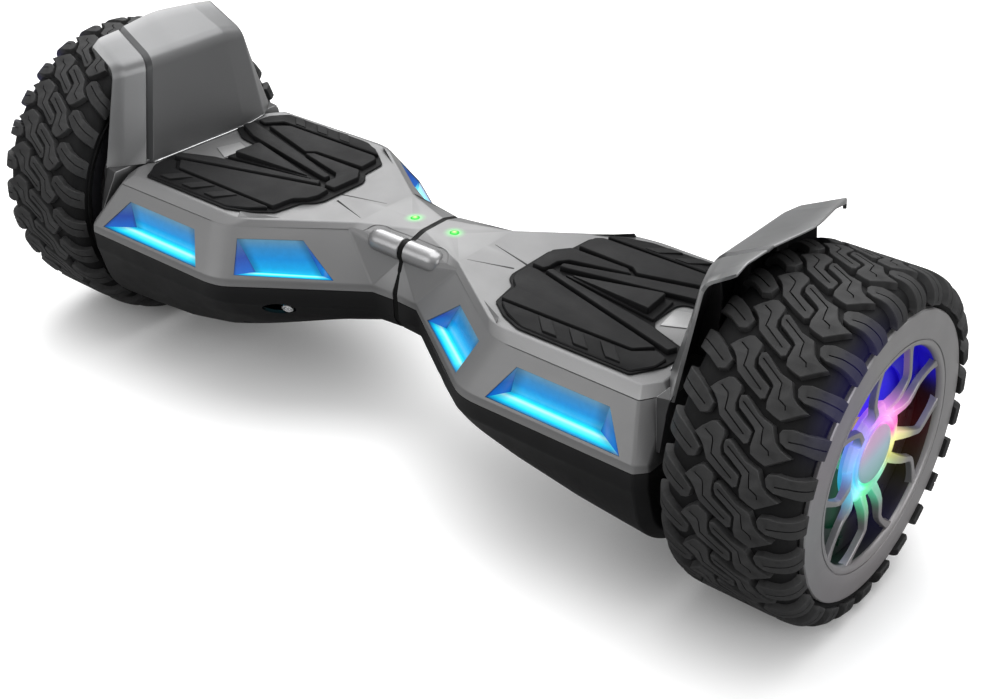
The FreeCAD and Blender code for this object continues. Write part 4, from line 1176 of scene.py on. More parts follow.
belly_right = lower_shell()
belly_skin = surface_tree(belly_right)
bellies = {"right": belly_right, "left": twin(belly_right)}
for side, sign in SIDES:
    belly = bellies[side]
    cut_away(belly, belly_cutters(sign))
    finish(belly, 40, LOWER_PLASTIC)
    weigh_normals(belly)
    register(belly, BODY[side], f"lower_shell_{side}")
    boss = socket_boss() if side == "right" else button_boss()
    finish(boss, 35, LOWER_PLASTIC)
    register(boss, BODY[side], f"lower_shell_{side}")
    wells = screw_wells(belly_skin, side, sign)
    finish(wells, 35, LOWER_PLASTIC)
    register(wells, BODY[side], f"lower_shell_{side}")

# ------------------------------------------------------------------ raised plate in the deck, painted lighter as a lit facet
DECK_PLATE = [(187.2, 6.6), (201.6, 12.0), (207.6, -5.4), (190.6, -13.6)]
for side, sign in SIDES:
    plate = prism("deck_plate_" + side, [(x * sign, y) for x, y in DECK_PLATE],
                  146.3, 147.15, .25)
    finish(plate, 35, PLATE_LIT_PAINT)
    register(plate, BODY[side], f"upper_shell_{side}")

# ------------------------------------------------------------------ fender
# Columns from front to back: base point, corner of the bend, outer point, reach of the bend,
# then how the column is rounded across: reach to the front, reach to the back, steps.
FENDER = dict(
    flange_edge=((242.3, -79.4, 147.0), (245.2, -60.4, 214.2), (265.5, -60.2, 227.0), 7.0, None),
    flange=((236.2, -70.5, 147.0), (242.0, -54.2, 215.4), (266.6, -52.8, 231.2), 7.5,
            (2.4, 2.4, 3)),
    strip_front=((226.4, -56.4, 147.0), (236.7, -37.6, 217.0), (267.8, -34.6, 231.8), 8.0,
                 (.45, .35, 2)),
    strip_back=((227.3, -54.9, 147.0), (237.6, -36.4, 216.2), (267.6, -33.4, 230.7), 8.0,
                (.35, .35, 1)),
    panel_front=((223.9, -51.9, 147.0), (235.9, -32.0, 217.4), (268.8, -29.0, 232.7), 8.0,
                 (.35, .6, 2)),
    panel_middle=((222.9, -8.0, 147.0), (235.6, -0.5, 217.3), (275.6, 5.4, 233.4), 8.0,
                  (9, 9, 3)),
    crease=((222.0, 35.6, 147.0), (235.1, 36.2, 217.0), (270.6, 35.6, 231.8), 8.0, (.9, .9, 2)),
    back_side=((226.4, 60.0, 147.0), (235.0, 53.0, 214.0), (268.0, 52.4, 230.2), 7.0,
               (1.6, 1.6, 3)),
    back_corner=((235.0, 73.0, 147.0), (241.8, 58.0, 212.0), (267.2, 54.6, 227.6), 6.5,
                 (2.4, 2.4, 3)),
    back_edge=((242.4, 79.6, 147.0), (247.2, 60.8, 210.0), (266.6, 55.8, 225.0), 6.5, None))
FOOT_PLAN = [(226.2, -55.0), (224.6, 36), (228.6, 60), (240.2, 74), (241.4, -74), (237.4, -69.6)]
TRIM_PATH = [(223.4, -51.0, 147.2), (222.2, -8, 147.2), (221.4, 35.6, 147.2), (225.8, 60.4, 147.2)]
RIB_PROFILE = [(225.0, 149.2), (239.6, 149.2), (241.0, 190), (237.4, 210), (234.4, 206),
               (231.6, 190)]      # x, z


def fender_column(base, corner, outer, reach):
    base, corner, outer = Vector(base), Vector(corner), Vector(outer)
    bend = conic(corner, base, outer, reach, reach, 9)
    return ([base.lerp(bend[0], k / 4) for k in range(4)] + bend
            + [bend[-1].lerp(outer, k / 3) for k in (1, 2, 3)])


def fender_rows():
    """Rows of points from the base outwards, and where each column starts in a row."""
    columns = [fender_column(*column[:4]) for column in FENDER.values()]
    rounded = [(name, column[4]) for name, column in FENDER.items() if column[4]]
    rows, starts = [], {}
    for points in zip(*columns):
        row = [points[0]]
        for j, (name, (to_front, to_back, steps)) in enumerate(rounded, start=1):
            front, corner, back = points[j - 1:j + 2]
            starts[name] = len(row)
            row += conic(corner, front, back, min(to_front, (front - corner).length * .45),
                         min(to_back, (back - corner).length * .45), steps)
        row.append(points[-1])
        rows.append(row)
    # down-turned lip along the outer edge, deeper at the back
    edge = rows[-1]
    rows.append([p + Vector((.7, 0, -.35)) for p in edge])
    rows.append([p + Vector((.9, 0, -1.1 - 2.6 * clamp((p.y - 40) / 9))) for p in edge])
    return rows, starts


def fender_skin():
    rows, starts = fender_rows()
    count = len(rows[0])
    skin = mesh_object("fender_skin", [point for row in rows for point in row],
                       grid_faces(len(rows), count, closed=False))
    weld(skin, 1e-6, outward=((221, -8, 180), (-1, 0, 0)))
    set_materials(skin, FENDER_PAINT, LINER, GROOVE_SHADE)
    for face in skin.data.polygons:
        # the strip faces take the groove's painted shade, slot 2
        if starts["strip_back"] <= face.index % (count - 1) <= starts["panel_front"]:
            face.material_index = 2
    modify(skin, "SOLIDIFY", thickness=2.2 * MM, offset=-1, use_even_offset=False,
           material_offset=1, material_offset_rim=0)
    bevel(skin, .4, degrees=65)
    sharpen(skin, 24)
    weigh_normals(skin)
    return skin


def end_wall_x(z):
    """x just outside the end wall of the upper shell at a height."""
    return 233.2 + (141.3 - z) * (241.5 - 233.2) / (141.3 - 113.0) + 0.45


def fender_skirt():
    """Plate outside the end wall of the deck that carries the fender."""
    low, high = end_wall_x(117.5), end_wall_x(141.3)
    ring = [(low, -88.4, 117.5), (high, -81.0, 141.3), (high - 1.0, -79.6, 146.4),
            (242.2, -78.9, 147.6), (243.2, -78.8, 151.0), (242.6, -80.6, 147.0),
            (242.0, -82.6, 138.0), (low + 2.3, -88.6, 117.5)]
    skirt = bridge("fender_skirt", ring, [(x, -y, z) for x, y, z in ring])
    bevel(skirt, .5, degrees=35)
    finish(skirt, 35, FENDER_PAINT, LINER)
    for face in skirt.data.polygons:
        if face.normal.x > -.4:
            face.material_index = 1
    return skirt


def fender_ribs():
    ribs = []
    for y in (-30, 0, 30):
        front, back = ([(x, y + half, z) for x, z in RIB_PROFILE] for half in (-.9, .9))
        rib = bridge("rib", front, back)
        modify(rib, "BEVEL", width=.3 * MM, segments=2)
        bake(rib)
        ribs.append(rib)
    ribs = join(ribs, "fender_ribs")
    finish(ribs, 35, LINER)
    return ribs


def fender_foot():
    foot = prism("fender_foot", FOOT_PLAN, 146.9, 149.2, .5)
    finish(foot, 35, FENDER_PAINT)
    return foot


def fender_trim():
    """Bright bead along the foot of the fender."""
    trim = tube("fender_trim", catmull(TRIM_PATH, 5), .6, 10)
    set_materials(trim, BRIGHT)
    smooth_all(trim)
    return trim


fender = [fender_skin(), fender_skirt(), fender_ribs(), fender_foot(), fender_trim()]
for piece in fender:
    register(twin(piece, name=piece.name + "_left"), BODY["left"], "fender_left")
for piece in fender:
    rename(piece, piece.name + "_right")
    register(piece, BODY["right"], "fender_right")

# ------------------------------------------------------------------ foot pads
PAD_Z = 147.4
SLAB_Z = PAD_Z + .1         # foot of every raised block
PAD_PLAN = [
    (208.6, -71.0), (127, -71.0), (111, -64.5), (96.5, -54.0), (92.2, -32.5), (85.0, -26.5),
    (82.5, -20.5), (82.0, 17.5), (84.5, 22.5), (90.8, 29.0), (92.4, 48.8), (108, 60.8),
    (126, 70.0), (208.6, 70.8), (219.6, 56.0), (221.2, 40.0), (221.2, 27.0), (205, 17),
    (189, 15), (186, 10), (186, -12), (190, -19), (221.2, -30.0), (221.2, -40), (219.6, -52.0)]
PAD_ROUNDING = [     # one reach for each corner above
    1.5, 2.5, 2.5, 2, 2.5, 2,
    1.5, 1.5, 2, 2, 2, 2.5,
    2.5, 1.5, 3, 1, 1, 4,
    2.5, 2.5, 2.5, 2.5, 1, 1, 3]
# Flat slabs: top z and plan; front, back, middle, front arm, back arm.
SLABS = [
    (151.0, [(206.5, -41.2), (196.5, -51.6), (99.6, -52.6), (97.6, -36), (90.0, -29.0),
             (87.2, -21), (88.6, -9.6), (96, -9.8)]),
    (151.0, [(201, 40.6), (188, 51.2), (102, 51.2), (97, 47.5), (95.8, 31.2), (139.6, 29.6),
             (146.2, 24.6)]),
    (151.0, [(138.6, 27.0), (144.6, 22.2), (103.2, 12.2), (98.4, 6.0), (98.4, -2.0),
             (96.6, -6.4), (87.0, -6.2), (85.8, 17.0), (93.8, 27.0)]),
    (151.35, [(214, -40.9), (217, -34.0), (190, -22.6), (176, -19.4), (108, -5.6),
              (102.6, -3.2), (99.4, -8.4)]),
    (151.35, [(214.0, 39.0), (217.5, 30.0), (196, 19.9), (180, 16.6), (108, 1.6),
              (103.2, 1.2), (102.5, 6.2), (149.0, 20.9)])]
PLINTH = [(111.0, -3.6), (183.6, 11.6), (186.4, -15.0)]
RAMP = [(115.5, -2.6), (178.4, 10.4), (180.6, -12.4)]
WING = [(207.5, -69.3), (216.8, -57.0), (217.6, -46.0), (208.4, -43.0), (197.6, -53.4),
        (101.6, -54.6), (112.6, -63.0), (128.6, -69.3)]      # front wing
WING_ROUNDING = [2, 2, 2, 1, 1.2, 1.5, 2.5, 2.5]


def slab(outline, top, drop, margin, corner):
    """Block with a steep flank and a rounded rim; top is a height or a function of x, y."""
    height = top if callable(top) else lambda x, y: top
    rings = []
    # inset of each ring and its depth below the top; None is the foot
    for inward, depth in ((0.0, None), (.12, drop), (.12 + margin * .25, drop * .45),
                          (.12 + margin * .62, drop * .1), (.12 + margin, 0)):
        ring = round_corners(inset(outline, inward), corner, 3)
        rings.append((ring, [SLAB_Z if depth is None else height(x, y) - depth
                             for x, y in ring]))
    return layered("slab", rings)


def wing_height(x, y):
    """Top of the front wing, falling away outwards and round its end."""
    if x < 205:
        return 150.7 - 2.1 * clamp((-y - 54) / 15.0) ** 1.1
    return 150.4 - 1.5 * clamp(hypot(x - 207, y + 45) / 22)


def wing(sign):
    plan = [(x, y * sign) for x, y in WING]
    rim = round_corners(plan, WING_ROUNDING, 3)
    top = round_corners(inset(plan, .7), WING_ROUNDING, 3)
    return layered("wing", [(rim, [SLAB_Z] * len(rim)),
                            (rim, [wing_height(x, y * sign) - .6 for x, y in rim]),
                            (top, [wing_height(x, y * sign) for x, y in top])])


def wing_lug(number, sign):
    """Slanted block across a wing."""
    x = 130.6 + 22.8 * number
    plan = [(x, -55.4), (x + 11.0, -55.4), (x + 23.2, -67.0), (x + 12.2, -67.2)]
    return slab([(x, y * sign) for x, y in plan],
                lambda x, y: 151.15 - .9 * clamp((-y * sign - 56) / 11.0), .5, .5, .8)


def foot_pad():
    base = []
    for inward, lift in ((0, -.05), (0, .1), (.25, .35), (.6, .45)):
        ring = round_corners(inset(PAD_PLAN, inward), PAD_ROUNDING, 4)
        base.append((ring, [PAD_Z + lift] * len(ring)))
    low = [layered("base", base), slab(PLINTH, 149.9, .5, .6, 1.5), wing(1), wing(-1)]
    raised = [slab(plan, top, 1.0, .95, 1.3) for top, plan in SLABS]
    # wedge between the arms, rising towards the wheel
    raised.append(slab(RAMP, lambda x, y: 150.6 + (x - 115) * (3.9 / 64), .8, .8, 1.6))
    raised += [wing_lug(number, sign) for sign in (1, -1) for number in range(3)]
    for parts, material in ((low, PAD_FLANK), (raised, PAD_TOP)):
        for part in parts:
            set_materials(part, material)
    pad = join(low + raised, "foot_pad_rubber_right")
    # steep faces of the raised blocks take the flank rubber, slot 0
    for face in pad.data.polygons:
        if face.material_index == 1 and face.normal.z < .86:
            face.material_index = 0
    sharpen(pad, 33)
    return pad


pad_right = foot_pad()
pad_left = twin(pad_right)
register(pad_right, "right_pad", "foot_pad_right")
register(pad_left, "left_pad", "foot_pad_left")

# ------------------------------------------------------------------ lamp trays
TRAY_DEPTH = 9.0


def inset_window(window, distance):
    """Shrink a four-cornered window in its own plane."""
    normal = (window[1] - window[0]).cross(window[3] - window[0]).normalized()
    result = []
    for i in range(4):
        before, here, after = window[i - 1], window[i], window[(i + 1) % 4]
        inward1 = normal.cross((here - before).normalized())
        inward2 = normal.cross((after - here).normalized())
        result.append(here + (inward1 + inward2) * (distance / (1 + inward1.dot(inward2))))
    return result


def tray(name, window, normal, seam_inset, wheel_inset, ledge_rise):
    """Recessed lamp: a long slope from the top edge down to a ledge along the bottom."""
    window = [p - normal * .5 for p in inset_window(window, .25)]
    top_seam, top_wheel, low_wheel, low_seam = window
    along = (low_wheel - low_seam).normalized()
    up = normal.cross(along)
    if up.dot(top_seam - low_seam) < 0:
        up = -up
    deep_seam = low_seam - normal * TRAY_DEPTH + up * ledge_rise + along * seam_inset
    deep_wheel = low_wheel - normal * TRAY_DEPTH + up * ledge_rise - along * wheel_inset
    vertices, faces, values = [], [], []

    def patch(a, b, c, d, steps_along, steps_up, kind):
        """Grid of faces with a to b along the lower edge and d to c along the upper."""
        first = len(vertices)
        for i in range(steps_along + 1):
            for j in range(steps_up + 1):
                s, t = i / steps_along, j / steps_up
                vertices.append(a.lerp(b, s).lerp(d.lerp(c, s), t))
                values.append((kind, t, s, 1.0))
        for i in range(steps_along):
            for j in range(steps_up):
                q = first + i * (steps_up + 1) + j
                faces.append([q, q + steps_up + 1, q + steps_up + 2, q + 1])

    patch(deep_seam, deep_wheel, top_wheel, top_seam, 12, 8, SLOPE)
    patch(low_seam, low_wheel, deep_wheel, deep_seam, 16, 8, LEDGE)
    patch(low_seam, deep_seam, top_seam, top_seam, 4, 6, END)
    patch(deep_wheel, low_wheel, top_wheel, top_wheel, 4, 6, END)
    piece = mesh_object(name, vertices, faces)
    lens = piece.data.color_attributes.new("lens", "FLOAT_COLOR", "POINT")
    for item, value in zip(lens.data, values):
        item.color = value
    with editing(piece) as bm:
        bmesh.ops.dissolve_degenerate(bm, dist=1e-7, edges=bm.edges)
        for face in bm.faces:
            if face.normal.dot(normal) < 0:
                face.normal_flip()
    modify(piece, "SOLIDIFY", thickness=1.2 * MM, offset=-1, use_even_offset=False)
    bake(piece)
    finish(piece, 30, LENS)
    return piece


trays = {
    "lamp_outer": tray("lamp_outer_front_right", OUTER_WINDOW, OUTER_NORMAL, 9.5, 21.5, 8.0),
    "lamp_inner": tray("lamp_inner_front_right", INNER_WINDOW, INNER_NORMAL, 9.5, 12.5, 4.2)}
TRAY_PLACES = (("right", "front", None), ("right", "rear", MIRROR_Y),
               ("left", "front", MIRROR_X), ("left", "rear", HALF_TURN))
for name, source in trays.items():
    for side, end, flip in TRAY_PLACES:
        lamp = twin(source, flip, f"{name}_{end}_{side}") if flip else source
        register(lamp, BODY[side], f"{end}_lenses_{side}")

# ------------------------------------------------------------------ tyre
TYRE_OUTLINE = [     # x, radius over the tread blocks
    (252.6, 87.8), (250.8, 90.2), (250.2, 94), (251.4, 98.5), (254.6, 103.2), (259, 106.2),
    (264.5, 107.7), (271, 108), (294.6, 108), (318, 108), (324.5, 107.7), (330, 106.4),
    (334.6, 103.6), (337.8, 99.5), (338.95, 95), (338.7, 91), (337.4, 89.3)]
TYRE_MIDDLE_X = 294.6
TREAD_DEPTH = 4.4
TREAD_REPEATS = 27
TREAD_PITCH = 2 * pi * TYRE_RADIUS / TREAD_REPEATS

crown = np.array([(p.x, min(p.y, TYRE_RADIUS))
                  for p in catmull([(x, r, 0) for x, r in TYRE_OUTLINE], 8)])
# length along the outline, equal to x at the middle of the tyre
across_tyre = np.concatenate([[0], np.cumsum(np.hypot(*np.diff(crown, axis=0).T))])
middle = across_tyre[np.argmin(np.abs(crown[:, 0] - TYRE_MIDDLE_X))]
across_tyre = across_tyre - middle + TYRE_MIDDLE_X
tangent = np.gradient(crown, axis=0)
tangent /= np.linalg.norm(tangent, axis=1)[:, None]
crown_normal = np.stack([-tangent[:, 1], tangent[:, 0]], 1)

# One pitch of the tread laid flat: outline of each block, then the line of its narrow cut.
# Points are (length across the tyre, length round it).
TREAD_BLOCKS = (
    ([(270.8, 94.0), (274.0, 98.4), (278.4, 102.6), (281.1, 103.4), (286.8, 100.9), (287.7, 98.8),
      (287.7, 91.1), (289.2, 87.0), (296.0, 83.0), (301.2, 80.4), (302.0, 79.5), (302.0, 73.9),
      (299.9, 72.6), (290.0, 77.2), (281.4, 82.0), (279.4, 85.4), (277.4, 88.8), (274.4, 91.7)],
     [(276.4, 97.5), (281.6, 94.9), (282.6, 92.6), (283.5, 86.1), (298.2, 77.4)]),
    ([(289.2, 96.0), (291.6, 97.0), (296.1, 94.2), (303.4, 89.4), (311.8, 87.2), (313.4, 84.2),
      (316.5, 79.5), (320.3, 76.8), (327.2, 74.3), (314.9, 65.7), (310.3, 66.8), (305.0, 68.8),
      (303.7, 72.6), (303.7, 81.2), (301.9, 82.9), (295.9, 86.6), (290.6, 89.6), (289.2, 92.6)],
     [(291.6, 93.4), (307.4, 84.4), (308.0, 81.1), (309.3, 76.1), (314.2, 74.0), (315.3, 71.8)]),
    ([(246.5, 101.8), (255.0, 99.6), (262.2, 96.8), (269.4, 92.5), (276.0, 86.9), (274.7, 81.3),
      (273.2, 80.4), (270.3, 79.7), (262.2, 84.3), (255.0, 87.0), (246.5, 89.2)],
     [(249.5, 94.4), (256.0, 92.6), (262.0, 89.8), (271.6, 84.6)]),
    ([(317.8, 62.0), (316.8, 59.4), (318.6, 55.4), (323.0, 53.6), (332.0, 53.6), (340.5, 52.6),
      (349.2, 52.2), (349.2, 65.6), (340.5, 65.2), (332.0, 64.0), (323.0, 63.8)],
     [(323.0, 57.2), (330.0, 58.4), (346.5, 59.0)]))


def wrap_on_tyre(across, around, height):
    """Places on the tyre for flat tread points; height is above the carcass."""
    x, radius = (np.interp(across, across_tyre, crown[:, i]) for i in (0, 1))
    normal_x, normal_r = (np.interp(across, across_tyre, crown_normal[:, i]) for i in (0, 1))
    x = x + normal_x * (height - TREAD_DEPTH)
    radius = radius + normal_r * (height - TREAD_DEPTH)
    angle = around / TYRE_RADIUS
    return np.stack([x, -radius * np.cos(angle), AXLE_Z + radius * np.sin(angle)], -1)


def narrow_cutter(line):
    """Thin wall along a line."""
    half_width = .38
    left, right = [], []
    for i, point in enumerate(line):
        before, here = Vector(line[max(i - 1, 0)]), Vector(point)
        after = Vector(line[min(i + 1, len(line) - 1)])
        ahead = (after - before).normalized()
        normal = Vector((-ahead.y, ahead.x))
        arriving = (here - before).normalized() if i else ahead
        turned = Vector((-arriving.y, arriving.x))
        offset = normal * (half_width / max(.5, abs(normal.dot(turned))))
        left.append(tuple(here + offset))
        right.append(tuple(here - offset))
    return prism("narrow_cut", left + right[::-1], TREAD_DEPTH - 1.5, TREAD_DEPTH + 1)


def flat_block(outline, line):
    """Points and faces of one tread block laid flat, sliced so that it can bend."""
    if signed_area(outline) < 0:
        outline = outline[::-1]
    n = len(outline)
    vertices = []
    for plan, z in ((inset(outline, -.55), -.5), (outline, TREAD_DEPTH - .35),
                    (inset(outline, .35), TREAD_DEPTH)):
        vertices += [(x, y, z) for x, y in plan]
    faces = [list(range(n - 1, -1, -1))] + grid_faces(3, n) + [[2 * n + i for i in range(n)]]
    block = mesh_object("block", vertices, faces)
    cut_away(block, [narrow_cutter(line)])
    bm = bmesh.new()
    bm.from_mesh(block.data)
    bmesh.ops.scale(bm, vec=(1 / MM, 1 / MM, 1 / MM), verts=bm.verts)

    def slice_at(point, normal):
        bmesh.ops.bisect_plane(bm, geom=bm.verts[:] + bm.edges[:] + bm.faces[:], dist=1e-4,
                               plane_co=point, plane_no=normal)

    across, around = zip(*outline)
    y = floor(min(around)) + 5.03
    while y < max(around) - .5:
        slice_at((0, y, 0), (0, 1, 0))
        y += 5.0
    # slices across only where the tyre shoulders curve
    for x in (*np.arange(247.13, 272, 2.4), *np.arange(321.17, 351, 2.4)):
        if min(across) < x < max(across):
            slice_at((x, 0, 0), (1, 0, 0))
    bmesh.ops.triangulate(bm, faces=[face for face in bm.faces if len(face.verts) > 4])
    points = np.array([vertex.co for vertex in bm.verts])
    faces = [[vertex.index for vertex in face.verts] for face in bm.faces]
    bm.free()
    discard(block)
    return points, faces


def tread():
    vertices, faces = [], []
    for outline, line in TREAD_BLOCKS:
        points, block_faces = flat_block(outline, line)
        for k in range(TREAD_REPEATS):
            first = len(vertices)
            vertices += list(wrap_on_tyre(points[:, 0], points[:, 1] + TREAD_PITCH * k,
                                          points[:, 2]))
            faces += [[i + first for i in face] for face in block_faces]
    blocks = mesh_object("tread_blocks_right", vertices, faces)
    finish(blocks, 34, TREAD_RUBBER)
    return blocks


def carcass():
    """Tyre body under the tread blocks."""
    profile = []
    for i in range(0, len(crown), 2):
        share = 1 if 6 < i < len(crown) - 7 else .75    # thicker near the beads
        x, radius = crown[i] - crown_normal[i] * TREAD_DEPTH * share
        if radius > 88.4:
            profile.append((float(x), float(radius)))
    profile = [(256.4, 87.2)] + profile + [(333.0, 89.1), (331.2, 89.1), (331.2, 86.4),
                                           (329.4, 84.3), (262.3, 84.3), (259.8, 87.2)]
    body = revolve("tyre_carcass_right", profile, 162)
    finish(body, 40, TYRE_RUBBER)
    return body


tread_right = tread()
carcass_right = carcass()

# ------------------------------------------------------------------ wheel
# Profiles are (x, radius).
RING_PROFILE = [
    (331.5, 84.6), (331.5, 88.9), (336.3, 88.9), (337.1, 88.3), (337.45, 87.2), (337.5, 80.0),
    (337.45, 72.1), (337.2, 71.6), (336.5, 71.4), (336.5, 70.8), (337.15, 70.6), (337.2, 68.8),
    (336.8, 67.9), (335.8, 67.1), (333.6, 66.6), (328.6, 67.2), (320.0, 70.7), (319.6, 73.4),
    (331.0, 75.5)]
HUB_PROFILE = [
    (323.2, 0), (323.2, 29.6), (326.0, 31.0), (328.4, 30.0), (329.6, 27.4), (329.9, 24.4),
    (329.5, 23.2), (328.6, 23.2), (329.8, 22.8), (330.6, 22.4), (330.9, 21.4), (330.7, 20.5),
    (330.2, 20.0), (327.6, 19.4), (327.6, 0)]
DISC_PROFILE = [(328.2, 0), (328.2, 17.8), (330.0, 18.3), (330.6, 18.0), (331.1, 17.1),
                (331.4, 12.6), (331.6, 6.0), (331.6, 0)]
DRUM_PROFILE = [
    (256.5, 78.0), (256.5, 86.5), (259.5, 86.5), (262.0, 84.0), (329.3, 84.0), (329.3, 76.3),
    (327.5, 76.0), (318.0, 76.0), (314.0, 24.0), (314.0, 16.3), (304.5, 16.3), (304.5, 22.0),
    (308.0, 26.0), (311.0, 72.0), (302.0, 73.0), (302.0, 69.2), (264.0, 69.2), (264.0, 76.0),
    (262.5, 78.0)]
# Spoke stations: radius, degrees from the middle of the pair, outer x, width, thickness.
SPOKE = [
    (69.0, 14.0, 335.3, 7.6, 5.0), (66.4, 14.6, 335.3, 5.0, 4.4), (63.5, 16.0, 335.2, 3.9, 4.0),
    (60.0, 17.9, 335.2, 3.4, 3.8), (56.0, 20.2, 335.3, 3.2, 3.8), (52.0, 22.6, 335.5, 3.2, 3.8),
    (48.6, 24.4, 335.6, 3.3, 3.8), (47.0, 24.9, 335.6, 3.4, 3.8), (45.0, 24.8, 335.5, 3.5, 4.0),
    (41.0, 23.8, 335.2, 3.8, 4.4), (36.0, 22.6, 334.6, 4.4, 5.4), (32.0, 21.8, 333.2, 5.2, 6.0),
    (28.5, 21.4, 331.2, 6.2, 6.0), (26.0, 21.4, 329.9, 6.6, 6.0)]
SPOKE_PAIRS = 5
FIRST_PAIR = 89     # degrees


def wheel_ring():
    ring = revolve("wheel_ring", RING_PROFILE, 192)
    finish(ring, 34, COVER, INNER)
    # the inward-looking face behind the spokes is dark
    for face in ring.data.polygons:
        centre = face.center
        radial = Vector((0, centre.y, centre.z - AXLE_Z * MM))
        if centre.x < .3335 and face.normal.dot(radial) < 0 and radial.length < .072:
            face.material_index = 1
    return ring


def spoke(pair_angle, sign):
    centres = []
    for radius, spread, *_ in SPOKE:
        angle = radians(pair_angle + sign * spread)
        centres.append(Vector((0, radius * cos(angle), radius * sin(angle))))
    vertices = []
    for i, (_, _, top, width, thickness) in enumerate(SPOKE):
        ahead = (centres[min(i + 1, len(SPOKE) - 1)] - centres[max(i - 1, 0)]).normalized()
        sideways = Vector((0, -ahead.z, ahead.y))
        half = width * .5
        section = [(-width * .60, top - thickness), (-half, top - .45), (-half + .35, top),
                   (half - .35, top), (half, top - .45), (width * .60, top - thickness)]
        for offset, x in section:
            point = centres[i] + sideways * offset
            vertices.append((x, point.y, AXLE_Z + point.z))
    n = len(section)
    last = (len(SPOKE) - 1) * n
    caps = [list(range(n)), list(range(last + n - 1, last - 1, -1))]
    return weld(mesh_object("spoke", vertices, grid_faces(len(SPOKE), n) + caps), 1e-7)


def wheel_spokes():
    pitch = 360 // SPOKE_PAIRS
    spokes = join([spoke(FIRST_PAIR + pitch * k, sign) for k in range(SPOKE_PAIRS)
                   for sign in (1, -1)], "wheel_spokes")
    modify(spokes, "SUBSURF", levels=1, render_levels=1, subdivision_type="SIMPLE")
    bake(spokes)
    finish(spokes, 24, COVER)
    return spokes


def turned(name, profile, degrees, material, closed=False):
    piece = revolve(name, profile, 128, closed)
    finish(piece, degrees, material)
    return piece


# piece, part it stands for, colour slot
wheel = [
    (wheel_ring(), "wheel_rim", "rim_silver"),
    (wheel_spokes(), "wheel_cover", "rim_silver"),
    (turned("wheel_hub_boss", HUB_PROFILE, 40, COVER), "wheel_cover", "rim_silver"),
    (turned("wheel_hub_disc", DISC_PROFILE, 50, HUB), "hub_cap", "hub_pearl"),
    (turned("wheel_drum", DRUM_PROFILE, 34, INNER, closed=True), "wheel_rim", "rim_silver"),
    (tread_right, "tyre", "tyre"),
    (carcass_right, "tyre", "tyre")]
for piece, part, slot in wheel:
    name = piece.name.replace("_right", "")
    left = twin(piece, HALF_TURN, name + "_left")
    rename(piece, name + "_right")
    register(piece, "right_wheel", f"{part}_right")
    register(left, "left_wheel", f"{part}_left")


# ------------------------------------------------------------------ status lamps
def status_lamp():
    """Small green dome in the deck."""
    top = 148.2
    rings = [(143.3, 2.6), (146.9, 3.0), (147.45, 2.9), (147.9, 2.3), (148.15, 1.3)]   # z, radius
    n = 40
    vertices = [(STATUS_X, 0, rings[0][0])]
    for z, radius in rings:
        vertices += [(STATUS_X + radius * cos(2 * pi * k / n), radius * sin(2 * pi * k / n), z)
                     for k in range(n)]
    vertices.append((STATUS_X, 0, top))
    last = 1 + (len(rings) - 1) * n
    faces = []
    for k in range(n):
        j = (k + 1) % n
        faces.append([0, 1 + j, 1 + k])
        for first in range(1, last, n):
            faces.append([first + k, first + j, first + n + j, first + n + k])
        faces.append([last + k, last + j, len(vertices) - 1])
    lamp = mesh_object("status_lamp_right", vertices, faces)
    weld(lamp, 1e-7, outward=((STATUS_X, 0, top), (0, 0, 1)))
    finish(lamp, 50, STATUS_GREEN)
    return lamp


status_right = status_lamp()
status_left = twin(status_right)
register(status_right, BODY["right"], "indicator_right")
register(status_left, BODY["left"], "indicator_left")

# ------------------------------------------------------------------ screws in the belly recesses
SCREW_PROFILE = [(0, 0), (0, 3.4), (1.2, 4.2), (2.0, 4.0), (2.4, 3.0), (2.0, 1.9), (1.0, 1.7),
                 (1.0, 0)]      # height, radius
for side, sign in SIDES:
    screw = spin(f"belly_screw_{side}", SCREW_PROFILE, 32, lambda height, x, y: (x, y, height),
                 closed=False, distance=1e-7)
    facing = Vector((-.40 * sign, -.78, -.44)).normalized()
    place = Matrix.Translation(Vector((71.4 * sign, -71.2, 90.8)) * MM)
    screw.data.transform(place @ facing.to_track_quat("Z", "Y").to_matrix().to_4x4())
    finish(screw, 40, BRIGHT)
    register(screw, BODY[side])

# ------------------------------------------------------------------ parts kept from the frame
ALUMINIUM = metal("cast_aluminium", (.62, .63, .64), rough=.42, bump=.3)
STEEL = metal("turned_steel", (.58, .58, .58), rough=.26, brush=(6, 1, 1), bump=.18)
LAMINATIONS = metal("stator_laminations", (.24, .19, .15), rough=.45, brush=(8, 1, 1), bump=.5)
BLACK_OXIDE = metal("black_oxide", (.06, .06, .065), rough=.4)
BOARD = board("circuit_board")
DARK = plastic("moulded_dark", (.03, .03, .033), rough=.45, bump=.3)
BATTERY_WRAP = plastic("battery_wrap", (.02, .07, .28), rough=.3, bump=.1, coat=.5)
CABLE = plastic("cable_sleeve", (.018, .018, .018), rough=.6, grain=700, bump=.6)
CAP_RUBBER = plastic("socket_cap_rubber", (.03, .03, .03), rough=.6, bump=.45, edge=.3)
BUTTON = plastic("button_gloss", (.05, .05, .055), rough=.2, bump=.05, coat=.7, edge=.3)
